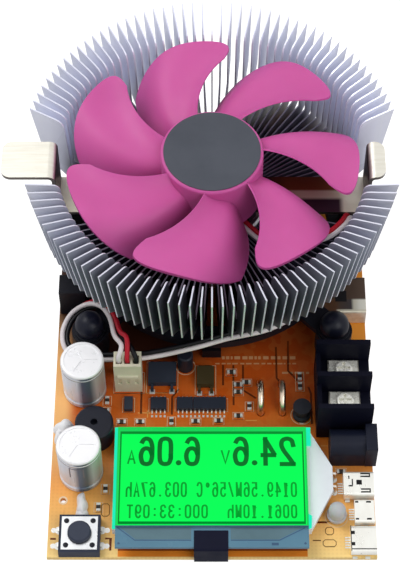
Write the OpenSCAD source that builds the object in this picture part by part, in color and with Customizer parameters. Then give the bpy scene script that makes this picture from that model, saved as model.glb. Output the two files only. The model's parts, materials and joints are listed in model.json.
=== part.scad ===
// Battery capacity tester: a bench board that discharges a battery into power
// transistors under a round finned heat sink with a fan in its bowl.
// Places on the board are measured from the middle of its front edge, on its
// upper face: x to the right, y to the back, z up. The finished part stands on
// its four retention pins, with the origin under the middle of its outline.

/* [Board] */
// Width of the strip of board on each side of the display
side_strip = 19; // [18.5:0.5:26]
// Thickness of the board
board_t = 1.6; // [1:0.2:2.4]
// Board behind the rear pair of retention pins
rear_margin = 9; // [7:0.5:20]
// How far the trimmed leads stand out below the board
lead_out = 1.8; // [1:0.1:2.2]
// Radius of a round lead
lead_r = 0.35; // [0.25:0.05:0.4]

/* [Heat sink] */
// Radius of the solid core
core_r = 17; // [15.5:0.5:20]
// Radius of the core's foot on the transistors
foot_r = 19.5; // [18:0.5:24]
// Height of the foot
foot_h = 3.6; // [2:0.2:3.8]
// Number of fins on each half, front and back
half_fins = 49; // [25:2:53]
// Thickness of a fin
fin_t = 0.45; // [0.3:0.05:0.5]
// Half of the angle left open for the clip on each side
gap_half = 14.5; // [14.5:0.5:20]
// Height of the lowest edge of the fins above the board
fin_z = 9; // [8.8:0.2:10]
// Radius where the lowest edge ends and the slope begins
belly_r = 34; // [30:0.5:35]
// Radius at the top of the slope
knee_r = 46; // [44:0.5:48]
// Height of the top of the slope
knee_z = 21; // [20:0.5:24]
// Height of the floor of the bowl at its wall
floor_z = 27; // [26.6:0.2:30]
// Outer radius of the fins at the height of that floor
waist_r = 51; // [50:0.5:53]
// Radius of the corner above it, where the outside turns upright
elbow_r = 53.5; // [53:0.5:56]
// Height of that corner
elbow_z = 29.5; // [29:0.5:32]
// Inner radius of the bowl at its floor
bowl_r = 45.5; // [45:0.1:47]
// Inner radius of the bowl at its rim
rim_in_r = 46.5; // [46:0.5:50]
// Outer radius of the rim
rim_r = 57; // [54:0.5:64]
// Height of the outer corner of the rim
rim_z = 53; // [51:0.5:60]
// Fall of the rim towards the bowl
rim_fall = 4; // [0:0.5:6]

/* [Mounting frame] */
// Spacing of the four retention pins, both ways
pin_pitch = 75; // [74:0.5:80]
// Radius of the boss round a pin
boss_r = 5.6; // [4.8:0.1:6]
// Height of a boss
boss_h = 9; // [8.6:0.1:9.4]
// Inner radius of the ring
ring_in_r = 37; // [36:0.5:39]
// Outer radius of the ring
ring_r = 43; // [42:0.5:43.2]
// Thickness of the ring
ring_h = 3; // [2:0.2:3.2]
// Height of the ring's underside above the board
ring_z = 7.4; // [7.3:0.1:7.6]
// Width of the arm from the ring to a boss
arm_w = 8; // [5:0.5:10]
// Radius of a pin's round head
dome_r = 4.5; // [3.8:0.1:4.7]
// Radius of a pin's shank
pin_r = 1.2; // [1:0.1:1.4]
// How far the pins stand out below the board
pin_out = 3.2; // [3:0.1:6]
// Wall of the sleeve round a pin
sleeve_wall = 0.8; // [0.6:0.1:1]

/* [Clip] */
// Width of the clip's strip
strap_w = 13.4; // [10:0.2:13.6]
// Thickness of the strip
strap_t = 1.2; // [0.8:0.1:1.3]
// Distance from the centre to the inner face of an upright
upright_x = 47; // [46.8:0.1:49]
// Height of the finger tabs above the board
tab_z = 45; // [36:0.5:50]
// Reach of the long finger tab from the centre
tab_reach = 63.5; // [58:0.5:75]
// Reach of the short lip from the centre
lip_reach = 52.3; // [51:0.1:55]
// Inner radius of the bends
bend_r = 1.2; // [0.8:0.1:1.6]
// Corner radius of the tabs
tab_corner = 3; // [1:0.5:5]
// Half width of the lug that the clip hooks on
lug_half = 4; // [2.5:0.1:4.6]
// Height of the lug's underside above the board
lug_z = 14.6; // [13:0.1:16]
// Height of the lug
lug_h = 3; // [2:0.1:4]

/* [Fan] */
// Radius of the hub
hub_r = 15.5; // [15:0.1:17]
// Height of the hub's top above the board
hub_top = 50.5; // [49:0.5:56]
// Thickness of the hub's wall
hub_wall = 1.3; // [1:0.1:1.6]
// Radius of the fan over the blade tips
tip_r = 44.3; // [38:0.1:44.4]
// Number of blades
blades = 7; // [3:1:9]
// Thickness of a blade at its middle
blade_t = 1.3; // [0.8:0.1:1.6]
// Height of the blades' leading edge at the tip
blade_top = 49.6; // [46:0.1:49.6]
// Height of the trailing edge at the tip
blade_low = 38.3; // [36:0.1:40]
// Height of the trailing edge at the hub
root_low = 31.7; // [31.7:0.1:35]
// Rise of a blade's curved section above the line between its edges
camber = 5.5; // [2:0.1:6.5]
// Angle that a blade covers at its tip
tip_sweep = 51.5; // [35:0.5:53]
// Angle by which a blade's leading edge lags at the hub
root_lag = 35.6; // [15:0.1:36]
// Angle of the trailing edge behind the tip, at the hub
root_sweep = 79.8; // [60:0.1:81]
// Rounding of the leading corner of a blade's tip
lead_round = 7.6; // [0:0.2:8]
// Rounding of the trailing corner
trail_round = 5.8; // [0:0.2:8]
// Radius of the blank label on the hub
label_r = 14.6; // [10:0.1:14.8]
// Radius of the shaft
shaft_r = 1.5; // [1:0.1:2]
// Radius of the motor's base
base_r = 15.2; // [14.6:0.1:15.4]
// Thickness of the motor's base
base_h = 3; // [2.6:0.1:3.4]

/* [Front panel parts] */
// Width of the display's backlight
display_w = 58; // [52:0.5:80]
// Length of the display's backlight, front to back
display_l = 32.5; // [26:0.5:33]
// Distance from the board's front edge to the backlight
display_y = 6.5; // [5.5:0.5:6.8]
// Height of the backlight's underside above the board
display_z = 2; // [1.5:0.1:4]
// Thickness of the backlight
backlight_h = 3.3; // [2.6:0.1:4]
// Thickness of one of the two sheets of glass
glass_t = 1.1; // [0.5:0.1:1.3]
// Border of the backlight outside the glass
glass_border = 1; // [0.4:0.1:2]
// How far the backlight's tail reaches out on the right
tail_reach = 6.6; // [4:0.2:7.2]
// Width of the flexible lead
flex_w = 9.9; // [6:0.1:16]
// Side of the push switch
switch_w = 12; // [11:0.1:12.2]
// Height of the switch's base
switch_h = 3.4; // [3:0.1:4.6]
// Radius of the round button
button_r = 3.4; // [3:0.1:3.6]
// Height of the button's top above the board
button_top = 5.2; // [4.8:0.1:9]
// Travel of the button
button_travel = 0.3; // [0.2:0.05:0.3]

/* [Left side parts] */
// Diameter of the two large capacitors
can_d = 13; // [11:0.1:13.6]
// Height of the two large capacitors
can_h = 18; // [12:0.5:25]
// Distance from the left edge to the capacitors' centres
can_inset = 9.1; // [8:0.1:9.6]
// Distance from the front edge to the front capacitor's centre
can_y = 27.5; // [26.5:0.1:27.5]
// Distance between the two capacitors' centres
can_pitch = 28.5; // [28.5:0.1:29]
// Diameter of the buzzer
buzzer_d = 11.5; // [9:0.1:12]
// Height of the buzzer
buzzer_h = 8.5; // [6:0.1:10]
// Height of the fan plug's housing
plug_h = 12; // [9:0.1:12.6]
// Spacing of the fan plug's contacts
plug_pitch = 2.54; // [2.5:0.01:2.6]

/* [Right side parts] */
// Pitch of the screw terminals
term_pitch = 11; // [9.5:0.1:13]
// Thickness of the terminal block's walls
term_wall = 1.6; // [1:0.1:2]
// Depth of the terminal block, edge to middle
term_depth = 16.3; // [13:0.1:17]
// Height of the terminal block's walls
term_h = 18; // [16:0.5:22]
// Height of the terminal block's floor
term_floor = 8.4; // [7:0.1:9]
// Radius of a terminal screw's head
screw_head_r = 2.75; // [2.6:0.05:3.2]
// Radius of a terminal screw's shank
screw_r = 1.45; // [1.2:0.05:1.6]
// How far a terminal screw can be undone
screw_lift = 3; // [1:0.1:3]
// Width and height of the power jack
jack_w = 9; // [8:0.1:9.6]
// Height of the power jack
jack_h = 11; // [10:0.1:13]
// Radius of the power jack's bore
jack_bore_r = 3.2; // [2.5:0.05:3.4]
// Radius of the power jack's centre pin
jack_pin_r = 1.05; // [0.6:0.05:1.25]
// Width of the small five-pin socket
mini_w = 7.7; // [7:0.1:8]
// Width of the flat five-pin socket
micro_w = 7.5; // [7:0.1:8]
// Width of the oval socket
oval_w = 8.9; // [8.4:0.1:9.2]
// Width of the large flat socket
large_w = 13.1; // [12.5:0.1:13.4]
// Thickness of the sockets' shells
shell_t = 0.35; // [0.25:0.05:0.45]

/* [Hidden] */

// Clearances
gap = 0.3;        // between pieces that only stand near each other
seat = 0.05;      // between a piece and the one it is pressed into
running = 0.05;   // between a shaft and its bearing, on the radius
hole_gap = 0.15;  // round a lead in its hole, on the radius

// Board outline
board_w = display_w + 2 * side_strip;
left_x = -board_w / 2;
right_x = board_w / 2;
under = -board_t;

// Front row on the left
switch_edge = 3.5;
switch_x = left_x + switch_edge + switch_w / 2;
switch_y = 0.1 + switch_w / 2;
switch_pin_step = 2.5;
switch_pin_x = switch_w / 2 + 0.35;
rivet_step = 3.85;
cover_t = 0.3;
cover_w = switch_w - 1.5;
can_x = left_x + can_inset;
can_rear_y = can_y + can_pitch;
can_lead_step = 2.5;
buzzer_x = -display_w / 2 - 0.45 - buzzer_d / 2;
buzzer_y = can_y + sqrt(pow((can_d + buzzer_d) / 2 + 0.9, 2) - pow(buzzer_x - can_x, 2));
buzzer_lead_step = 3.25;

// Sockets along the right edge, each set behind the one in front of it
port_gap = 0.85;
oval_y = 0.2 + oval_w / 2;
micro_y = oval_y + oval_w / 2 + port_gap + micro_w / 2;
mini_y = micro_y + micro_w / 2 + port_gap + mini_w / 2;
jack_gap = 3.4;
jack_y = mini_y + mini_w / 2 + jack_gap + jack_w / 2;
term_gap = 1;
term_y = jack_y + jack_w / 2 + term_gap;
term_len = 2 * term_pitch + term_wall;
term_x = right_x - 0.3 - term_depth;
screw_x = term_x + term_depth / 2 + 0.2;
screw_points = [for (k = [0, 1]) [screw_x, term_y + term_wall / 2 + (k + 0.5) * term_pitch]];

// Heat sink place, behind the terminal block
frame_gap = 3.3;
sink_y = term_y + term_len + frame_gap + boss_r + pin_pitch / 2;
board_l = sink_y + pin_pitch / 2 + rear_margin;
pin_points = [for (sx = [-1, 1], sy = [-1, 1]) [sx * pin_pitch / 2, sy * pin_pitch / 2]];

// Stack under and on the heat sink
arm_z = ring_z - 0.4;
arm_short = 1;
mosfet_h = 4.5;
mosfet_w = 15.8;
mosfet_l = 20.4;
mosfet_y = 0.5;
pad_t = 0.5;
sink_z = mosfet_h + pad_t;
bowl_mid_z = floor_z - 2;
fin_in_r = core_r + seat;
fin_pitch = (180 - 2 * gap_half) / (half_fins - 1);
rim_round = 0.38 * (rim_r - rim_in_r);
rim_tilt = atan2(rim_fall, rim_r - rim_in_r);
corner_z = rim_z - (rim_round + (rim_r - rim_in_r - rim_round) * sin(rim_tilt)) / cos(rim_tilt);
strap_z = floor_z;

// Fan stack on the core
base_z = floor_z;
base_top = base_z + base_h;
base_channel = strap_t + gap;
skirt_z = base_top + 0.6;
tube_in_r = shaft_r + running + 1.45 + seat;
tube_r = tube_in_r + 1.15;
bearing_z = base_z + base_channel + 0.7;
bearing_h = 12.5;
shaft_gap = 0.3;
label_t = 0.3;
plate_t = 1.2;
plate_z = hub_top - label_t - plate_t;
boss_drop = 4;
motor_board_t = 0.8;
stator_z = base_top + 3.5;
stator_h = 7;
stator_r = hub_r - hub_wall - 2.6;
magnet_t = 1.8;
winding_wrap = 1.3;

// Display stack
glass_z = display_z + backlight_h;
glass_w = display_w - 2 * glass_border;
ledge_y = 0.3;
glass_back = display_y + display_l - 0.1;
flex_t = 0.2;
flex_out = 0.8;
flex_bend = 0.8;
flex_top = glass_z + glass_t;
flex_x = -0.25;
tail_z = 3;
tail_h = 2;

// Fan connector
header_x = left_x + 22.55;
header_y = can_rear_y + 1.85;
header_w = 3 * plug_pitch + 0.68;
header_l = 5.3;
header_h = 3.2;
plug_top = header_h + plug_h;
slot_depth = 1.5;

// Button
dome_h = 0.6;
cavity_r = button_r + 0.9;
cavity_z = 1.2;

// Terminal fittings
plate_h = 0.8;
washer_t = 0.8;
washer_w = term_pitch - term_wall - 0.8;
plate_w = 9.4;
screw_head_h = 2;
washer_z = term_floor + plate_h;
screw_len = screw_lift + 3.4;

// Leads: place, and the height at which each meets its part
can_leads = [for (cy = [can_y, can_rear_y], s = [-1, 1]) [can_x + s * can_lead_step, cy, 0]];
buzzer_leads = [for (s = [-1, 1]) [buzzer_x, buzzer_y + s * buzzer_lead_step, 0]];
led_x = right_x - 11.4;
led_y = 13;
led_z = 1;
led_leads = [for (s = [-1, 1]) [led_x, led_y + s * 1.27, led_z]];
choke_r = 2.7;
choke_h = 5.7;
choke_x = term_x - choke_r - 1.5;
choke_y = 47;
choke_leads = [for (s = [-1, 1]) [choke_x, choke_y + s * 2, 0]];
tab_w = 8.6;
tab_l = 7.2;
tab_x = header_x + header_w / 2 + 1.7 + tab_w / 2;
tab_y = header_y + 2.95;
small_can_r = 2.4;
small_can_h = 7.5;
small_can_x = tab_x + tab_w / 2 + small_can_r + 0.4;
small_can_y = sink_y - sqrt(pow(ring_r + small_can_r + 0.55, 2) - pow(small_can_x, 2));
slim_w = 5.3;
slim_l = 6.4;
slim_x = small_can_x + small_can_r + 1.15 + slim_w / 2;
slim_y = header_y + 1.95;
small_leads = [for (s = [-1, 1]) [small_can_x + s * 1, small_can_y, 0]];
relay_x = left_x + 0.5;
relay_l = 6.8;
relay_h = 12;
relay_ahead = 19.2;
relay_w = min(8, -relay_x - sqrt(pow(ring_r + 0.92, 2) - pow(relay_ahead, 2)));
relay_y = sink_y - relay_ahead - relay_l;
relay_leads = [for (s = [-1, 1]) [relay_x + relay_w / 2, relay_y + relay_l / 2 + s * 2, 0]];
round_leads = concat(can_leads, buzzer_leads, led_leads, choke_leads, small_leads, relay_leads);
tail_pin_x = display_w / 2 + tail_reach + 0.8;
tail_pins = [for (y = [display_y + 14.4, display_y + 18.6]) [tail_pin_x, y]];

// Shunts: two arches of thick wire along y
shunt_r = 1.05;
shunt_step = 6.6;
shunt_right = choke_x - choke_r - shunt_r - 2.05;
shunt_x = [shunt_right - shunt_step, shunt_right];
shunt_y = 52.7;
shunt_span = 9.9;

// Outline of the whole part
x_high = rim_r * cos(gap_half) + fin_t / 2 * sin(gap_half);
mid_x = (max(x_high, lip_reach, right_x + 0.9) - max(tab_reach, rim_r)) / 2;
mid_y = (max(sink_y + rim_r, board_l) - flex_out) / 2;
board_z = board_t + pin_out;

module at_board() {
  translate([-mid_x, -mid_y, board_z]) children();
}

module at_sink() {
  at_board() translate([0, sink_y, 0]) children();
}

// A box by its lowest corner and size
module block(at, size) {
  translate(at) cube(size);
}

// A box centred in x and y on a point
module post(x, y, z, w, l, h) {
  translate([x - w / 2, y - l / 2, z]) cube([w, l, h]);
}

// A round bar standing on z
module bar(x, y, z, r, h, n = 32) {
  translate([x, y, z]) cylinder(r = r, h = h, $fn = n);
}

// A rectangle with round corners, centred
module round_rect(w, h, r) {
  square([w - 2 * r, h], center = true);
  square([w, h - 2 * r], center = true);
  for (sx = [-1, 1], sy = [-1, 1])
    translate([sx * (w / 2 - r), sy * (h / 2 - r)]) circle(r = r, $fn = 32);
}

// A flat outline in y and z, drawn along x from x0
module along_x(x0, length, y, z) {
  translate([x0, y, z]) rotate([90, 0, 90]) linear_extrude(length) children();
}

module circuit_board() {
  color("darkorange") at_board() difference() {
    block([left_x, 0, under], [board_w, board_l, board_t]);
    translate([0, sink_y, 0])
      for (p = pin_points) drill(p.x, p.y, pin_r + seat + sleeve_wall + hole_gap);
    for (p = round_leads) drill(p.x, p.y, lead_r + hole_gap);
    for (p = tail_pins) drill(p.x, p.y, lead_r + hole_gap);
    for (k = [-1 : 1]) drill(header_x + k * plug_pitch, header_y, 0.6);
    for (sx = [-1, 1], sy = [-1, 1])
      drill(switch_x + sx * switch_pin_x, switch_y + sy * switch_pin_step, 0.65);
    for (p = screw_points) drill(p.x, p.y, 0.9);
    for (x = shunt_x, s = [-1, 1]) drill(x, shunt_y + s * shunt_span / 2, shunt_r + hole_gap);
    for (x = jack_lead_x) drill(x, jack_y, 1.3);
    drill(left_x + 4, 18.3, 0.8);
  }
}

// A hole through the board
module drill(x, y, r) {
  translate([x, y, under - 1]) cylinder(r = r, h = board_t + 2, $fn = 32);
}

module heatsink_core() {
  color("lightgray") at_sink() {
    rotate_extrude($fn = 96) polygon([
      [0, sink_z], [foot_r, sink_z], [foot_r, sink_z + foot_h], [core_r, sink_z + foot_h],
      [core_r, floor_z - 0.6], [core_r - 0.6, floor_z], [0, floor_z]]);
  }
}

// Angles of the fins, a half circle in front and one behind
function fin_angles() = [for (side = [90, 270], k = [0 : half_fins - 1])
  side - 90 + gap_half + k * fin_pitch];

// One fin, from its outline in radius and height
module fin(angle, outline) {
  rotate([0, 0, angle]) rotate([90, 0, 0])
    translate([0, 0, -fin_t / 2]) linear_extrude(fin_t) polygon(outline);
}

module lower_fins() {
  color("silver") at_sink()
    for (a = fin_angles()) fin(a, [
      [fin_in_r, fin_z], [belly_r, fin_z], [knee_r, knee_z],
      [waist_r, floor_z], [bowl_r, floor_z], [fin_in_r, bowl_mid_z]]);
}

// Rounded corner of a fin between its top edge and the bowl
function rim_corner() = [for (k = [0 : 4]) let (t = 90 + rim_tilt + k * (90 - rim_tilt) / 4)
  [rim_in_r + rim_round * (1 + cos(t)), corner_z + rim_round * sin(t)]];

module upper_fins() {
  color("gainsboro") at_sink()
    for (a = fin_angles()) fin(a, concat(
      [[bowl_r, floor_z], [waist_r, floor_z], [elbow_r, elbow_z], [rim_r, rim_z]],
      rim_corner()));
}

module mounting_frame() {
  color("#1c1e26") at_sink() difference() {
    union() {
      translate([0, 0, ring_z]) cylinder(r = ring_r, h = ring_h, $fn = 120);
      for (p = pin_points) {
        bar(p.x, p.y, 0, boss_r, boss_h, 48);
        rotate([0, 0, atan2(p.y, p.x)])
          block([ring_r - 2, -arm_w / 2, arm_z], [norm(p) - ring_r - arm_short, arm_w, boss_h - arm_z]);
      }
      for (s = [-1, 1]) frame_lug(s);
    }
    translate([0, 0, ring_z - 2]) cylinder(r = ring_in_r, h = ring_h + 4, $fn = 120);
    for (p = pin_points) bar(p.x, p.y, -1, pin_r + seat + sleeve_wall + seat, boss_h + 2);
  }
}

// A post on the ring with a nose that stands through the clip's window
module frame_lug(s) {
  post_in = ring_r - 2.5;
  post_out = upright_x - gap;
  nose_out = upright_x + strap_t + 1.4;
  mirror([s < 0 ? 1 : 0, 0, 0]) {
    block([post_in, -lug_half - 1.6, ring_z],
      [post_out - post_in, 2 * lug_half + 3.2, lug_z + lug_h + 2 - ring_z]);
    block([post_out - 1, -lug_half, lug_z], [nose_out - post_out + 1, 2 * lug_half, lug_h]);
  }
}

module retention_sleeves() {
  color("#2a2d38") at_sink()
    for (p = pin_points) translate([p.x, p.y, 0]) difference() {
      union() {
        translate([0, 0, boss_h]) cylinder(r = dome_r + 0.4, h = 1.2, $fn = 48);
        bar(0, 0, under - 2, pin_r + seat + sleeve_wall, boss_h - under + 2);
        bar(0, 0, under - 1.4, pin_r + sleeve_wall + 0.7, 1.1);
      }
      bar(0, 0, under - 3, pin_r + seat, boss_h + board_t + 6);
    }
}

module retention_pins() {
  head_z = boss_h + 1.2;
  crown = head_z + 1.6;
  color("#20232d") at_sink()
    for (p = pin_points) translate([p.x, p.y, 0]) {
      bar(0, 0, under - pin_out, pin_r, pin_out + board_t + head_z + 0.5);
      translate([0, 0, head_z]) rotate_extrude($fn = 64) intersection() {
        union() {
          translate([0, crown - head_z]) circle(r = dome_r, $fn = 64);
          square([dome_r - 0.5, crown - head_z]);
        }
        square([dome_r + 1, 2 * dome_r + 2]);
      }
    }
}

// Half of the clip seen from the front: strip, upright, bend and tab
module strap_half(reach) {
  bend_x = upright_x + strap_t + bend_r;
  bend_z = tab_z - bend_r;
  square_from(0, strap_z, upright_x, strap_t);
  square_from(upright_x, lug_z - 1.6, strap_t, bend_z - lug_z + 1.6);
  translate([bend_x, bend_z]) intersection() {
    difference() {
      circle(r = bend_r + strap_t, $fn = 48);
      circle(r = bend_r, $fn = 48);
    }
    translate([-bend_r - strap_t, 0]) square(bend_r + strap_t);
  }
  square_from(bend_x, tab_z, reach - bend_x, strap_t);
}

module square_from(x, y, w, h) {
  translate([x, y]) square([w, h]);
}

module clip_strap() {
  color("ivory") at_sink() difference() {
    intersection() {
      rotate([90, 0, 0]) translate([0, 0, -strap_w / 2]) linear_extrude(strap_w) {
        strap_half(lip_reach);
        mirror([1, 0]) strap_half(tab_reach);
      }
      translate([(lip_reach - tab_reach) / 2, 0, 0])
        linear_extrude(tab_z + 10) round_rect(lip_reach + tab_reach, strap_w, tab_corner);
    }
    for (s = [-1, 1])
      post(s * (upright_x + strap_t / 2), 0, lug_z - 0.1, 4 * strap_t, 2 * lug_half + 0.6, lug_h + 1.6);
  }
}

module fan_base() {
  color("#23252c") at_sink() difference() {
    union() {
      bar(0, 0, base_z, base_r, base_h, 72);
      bar(0, 0, base_top, tube_r, bearing_z + bearing_h - base_top, 48);
    }
    bar(0, 0, bearing_z, tube_in_r, bearing_h + 1, 48);
    post(0, 0, base_z - 1, 2 * base_r + 2, strap_w + 0.6, base_channel + 1);
    rotate([0, 0, wire_angle]) block([base_r - 2.6, -2.2, base_z - 1], [6, 4.4, base_h + 2]);
  }
}

module fan_bearing() {
  color("#b08d57") at_sink() difference() {
    bar(0, 0, bearing_z, tube_in_r - seat, bearing_h, 48);
    bar(0, 0, bearing_z - 1, shaft_r + running, bearing_h + 2, 48);
  }
}

module fan_stator() {
  arm_r = stator_r - 1.2;
  color("slategray") at_sink() translate([0, 0, stator_z]) linear_extrude(stator_h) difference() {
    union() {
      circle(r = tube_r + 2, $fn = 48);
      for (k = [0 : 3]) rotate(k * 90) {
        translate([tube_r + 1, -1.2]) square([arm_r - tube_r, 2.4]);
        intersection() {
          difference() {
            circle(r = stator_r, $fn = 96);
            circle(r = arm_r, $fn = 96);
          }
          polygon([[0, 0], [2 * stator_r, -1.3 * stator_r], [2 * stator_r, 1.3 * stator_r]]);
        }
      }
    }
    circle(r = tube_r + seat, $fn = 48);
  }
}

module stator_windings() {
  inner = tube_r + winding_wrap + 0.9;
  depth = stator_r - 1.9 - inner;
  color("#b5652b") at_sink()
    for (k = [0 : 3]) rotate([0, 0, k * 90]) difference() {
      block([inner, -1.25 - winding_wrap, stator_z - winding_wrap],
        [depth, 2.5 + 2 * winding_wrap, stator_h + 2 * winding_wrap]);
      block([inner - 1, -1.25, stator_z - seat], [depth + 2, 2.5, stator_h + 2 * seat]);
    }
}

module fan_motor_board() {
  color("darkgreen") at_sink() difference() {
    bar(0, 0, base_top, hub_r - hub_wall - 1.6, motor_board_t, 72);
    bar(0, 0, base_top - 1, tube_r + seat, motor_board_t + 2, 48);
    rotate([0, 0, wire_angle]) block([base_r - 3, -2.4, base_top - 1], [6, 4.8, 4]);
  }
}

// How far radius r is in from the tip, as a share of the blade's length
function inward(r) = (tip_r - r) / (tip_r - hub_r);

// Angle of a blade's leading edge behind its tip, at radius r
function lag(r) = root_lag * pow(max(0, inward(r)), 0.77);

// Angle of a blade's trailing edge behind its tip, at radius r
function trail(r) = tip_sweep + (root_sweep - tip_sweep) * inward(r);

// Height of the trailing edge at radius r
function low_edge(r) = blade_low + (root_low - blade_low) * inward(r);

// Radius of point i along the blade, at share t of its chord
function span_r(i, t) = let (
    corner = t < 0.5 ? lead_round : trail_round,
    outer = tip_r - corner * pow(abs(2 * t - 1), 4))
  hub_r - 0.7 + (outer - hub_r + 0.7) * i / blade_rings;

// A point on a blade: side 1 is the upper face, side -1 the lower
function blade_point(i, t, side) = let (
    r = span_r(i, t),
    turn = trail(r) - lag(r),
    drop = blade_top - low_edge(r),
    slope = atan2(drop, r * turn * PI / 180),
    half = side * blade_t / 2 * (0.3 + 0.7 * sin(180 * t)),
    angle = lag(r) + turn * t + half * sin(slope) / r * 180 / PI,
    z = blade_top - drop * t + camber * sin(180 * pow(t, 1.78)) + half * cos(slope))
  [r * cos(angle), r * sin(angle), z];

blade_rings = 8;
blade_steps = 8;

// Two grids of points, joined round their edges
module blade() {
  row = blade_steps + 1;
  sheet = (blade_rings + 1) * row;
  points = [for (side = [1, -1], i = [0 : blade_rings], j = [0 : blade_steps])
    blade_point(i, j / blade_steps, side)];
  upper = [for (i = [0 : blade_rings - 1], j = [0 : blade_steps - 1], half = [0, 1])
    let (a = i * row + j, b = a + 1, c = a + row, d = c + 1) half == 0 ? [a, b, d] : [a, d, c]];
  lower = [for (f = upper) [f[2] + sheet, f[1] + sheet, f[0] + sheet]];
  rim = concat(
    [for (j = [0 : blade_steps]) j],
    [for (i = [1 : blade_rings]) i * row + blade_steps],
    [for (j = [1 : blade_steps]) blade_rings * row + blade_steps - j],
    [for (i = [1 : blade_rings - 1]) (blade_rings - i) * row]);
  count = len(rim);
  edge = [for (k = [0 : count - 1], half = [0, 1])
    let (a = rim[k], b = rim[(k + 1) % count]) half == 0 ? [b, a, a + sheet] : [b, a + sheet, b + sheet]];
  polyhedron(points, concat(upper, lower, edge), convexity = 4);
}

module fan_rotor() {
  color("#cb62a3") at_sink() {
    for (k = [0 : blades - 1]) rotate([0, 0, first_blade - k * 360 / blades]) blade();
    difference() {
      union() {
        rotate_extrude($fn = 96) fan_cup();
        bar(0, 0, plate_z - boss_drop, shaft_r + 2, boss_drop + 0.2, 48);
      }
      bar(0, 0, skirt_z, shaft_r + 0.02, plate_z - skirt_z, 48);
    }
  }
}

first_blade = 71.4;

// Half section of the hub: a cup with a rounded shoulder
module fan_cup() {
  top = hub_top - label_t;
  round_r = 0.9;
  difference() {
    union() {
      square_from(0, skirt_z, hub_r, top - round_r - skirt_z);
      square_from(0, top - round_r - 0.1, hub_r - round_r, round_r + 0.1);
      translate([hub_r - round_r, top - round_r]) circle(r = round_r, $fn = 32);
      square_from(label_r + seat, top - 0.1, hub_r - round_r - label_r - seat, 0.1);
    }
    translate([-1, skirt_z - 1]) square([hub_r - hub_wall + 1, plate_z - skirt_z + 1]);
    translate([-hub_r, 0]) square([hub_r, 2 * top]);
  }
}

module fan_magnet() {
  color("dimgray") at_sink() difference() {
    bar(0, 0, skirt_z + 1.4, hub_r - hub_wall - seat, stator_h + 4, 72);
    bar(0, 0, skirt_z, hub_r - hub_wall - magnet_t, stator_h + 8, 72);
  }
}

module fan_shaft() {
  color("lightsteelblue") at_sink()
    bar(0, 0, bearing_z + shaft_gap, shaft_r, plate_z - bearing_z - shaft_gap, 48);
}

module hub_label() {
  color("#4a5058") at_sink() bar(0, 0, hub_top - label_t, label_r, label_t, 96);
}

// Middle line of the fan lead from the motor to the plug: x and y from the
// heat sink's centre, z above the board. Part of it lies on the ring, clear of
// the fins' slope
wire_angle = -50;
wire_r = 0.75;
bundle_r = 0.9;
plug_y = header_y - sink_y;
lead_gap = 0.4;
ring_lead_z = ring_z + ring_h + bundle_r + wire_r + lead_gap;
slope_w = knee_r - belly_r;
slope_h = knee_z - fin_z;
slope_gap = (bundle_r + wire_r + lead_gap) * norm([slope_w, slope_h]);
ring_lead_r = max(ring_r - 1, belly_r + (slope_w * (ring_lead_z - fin_z) + slope_gap) / slope_h);
function on_ring(a) = [ring_lead_r * cos(a), ring_lead_r * sin(a), ring_lead_z];
lead_route = [
  [8.4, -10, 28.8], [11, -13.1, 28.7], [17, -17.6, 27.7], [26, -18.5, 28], [35, -16, 28.5],
  [40, -11.6, 28.7], [41.6, -8.9, 28.4], [42.3, -8.7, 25.5], [42.4, -8.7, 15.5], [42.5, -10, 13],
  on_ring(-20), on_ring(-33), on_ring(-49), on_ring(-66), on_ring(-84),
  [-6.5, -ring_r - 1.6, 11.4], [-20, -46, 8.4], [-32, -45.6, 6.5], [-38.4, -45.2, 6], [-44, -42.6, 6],
  [-45.4, -37, 6.5], [-43, -31.4, 8], [-38, -29.2, 10.5], [-33.4, -31.4, 13], [-30.4, -36, 13.6],
  [header_x - 2.95, plug_y + 8.55, plug_top + 0.3], [header_x - 0.35, plug_y + 3.35, plug_top + 3.8]];

// Direction of the route at point i
function heading(route, i) = let (
    a = route[max(i - 1, 0)],
    b = route[min(i + 1, len(route) - 1)])
  (b - a) / norm(b - a);

function unit(v) = v / norm(v);

// A direction across the route at point i, carried along without twisting
function across(route, i) = let (way = heading(route, i))
  i == 0 ? unit(cross([0, 0, 1], way))
         : let (last = across(route, i - 1)) unit(last - (last * way) * way);

// How far the bundle has twisted at point i: a third of a turn near its end
function twist(i) = 12 * max(0, min(10, i - 16));

// Distance of each wire from the middle line, growing over the last points
function spread(i) = bundle_r + 0.32 * max(0, i - 24);

// Centre line of one of the three wires, at its own side of the middle line,
// then parted from the others and led down into its slot of the plug
function wire_route(start, slot) = concat(
  [for (i = [0 : len(lead_route) - 1]) let (
      side = across(lead_route, i),
      top = cross(heading(lead_route, i), side),
      turn = start + twist(i))
    lead_route[i] + spread(i) * (cos(turn) * side + sin(turn) * top)],
  [for (z = [plug_top + 1.6, plug_top - slot_depth + seat])
    [header_x + slot * plug_pitch, plug_y, z]]);

// A tube along a route of points, one ring of 8 points at each
module tube(route, r) {
  n = 8;
  last = len(route) - 1;
  points = [for (i = [0 : last]) let (
      side = across(route, i),
      top = cross(heading(route, i), side))
    for (k = [0 : n - 1]) route[i] + r * (cos(k * 360 / n) * side + sin(k * 360 / n) * top)];
  skin = [for (i = [0 : last - 1], k = [0 : n - 1], half = [0, 1]) let (
      a = i * n + k, b = i * n + (k + 1) % n)
    half == 0 ? [b, a, a + n] : [b, a + n, b + n]];
  ends = [[for (k = [0 : n - 1]) k], [for (k = [0 : n - 1]) last * n + n - 1 - k]];
  polyhedron(points, concat(skin, ends), convexity = 8);
}

module fan_wire_white() {
  color("white") at_sink() tube(wire_route(150, -1), wire_r);
}

module fan_wire_red() {
  color("crimson") at_sink() tube(wire_route(30, 0), wire_r);
}

module fan_wire_black() {
  color("black") at_sink() tube(wire_route(270, 1), wire_r);
}

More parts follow.
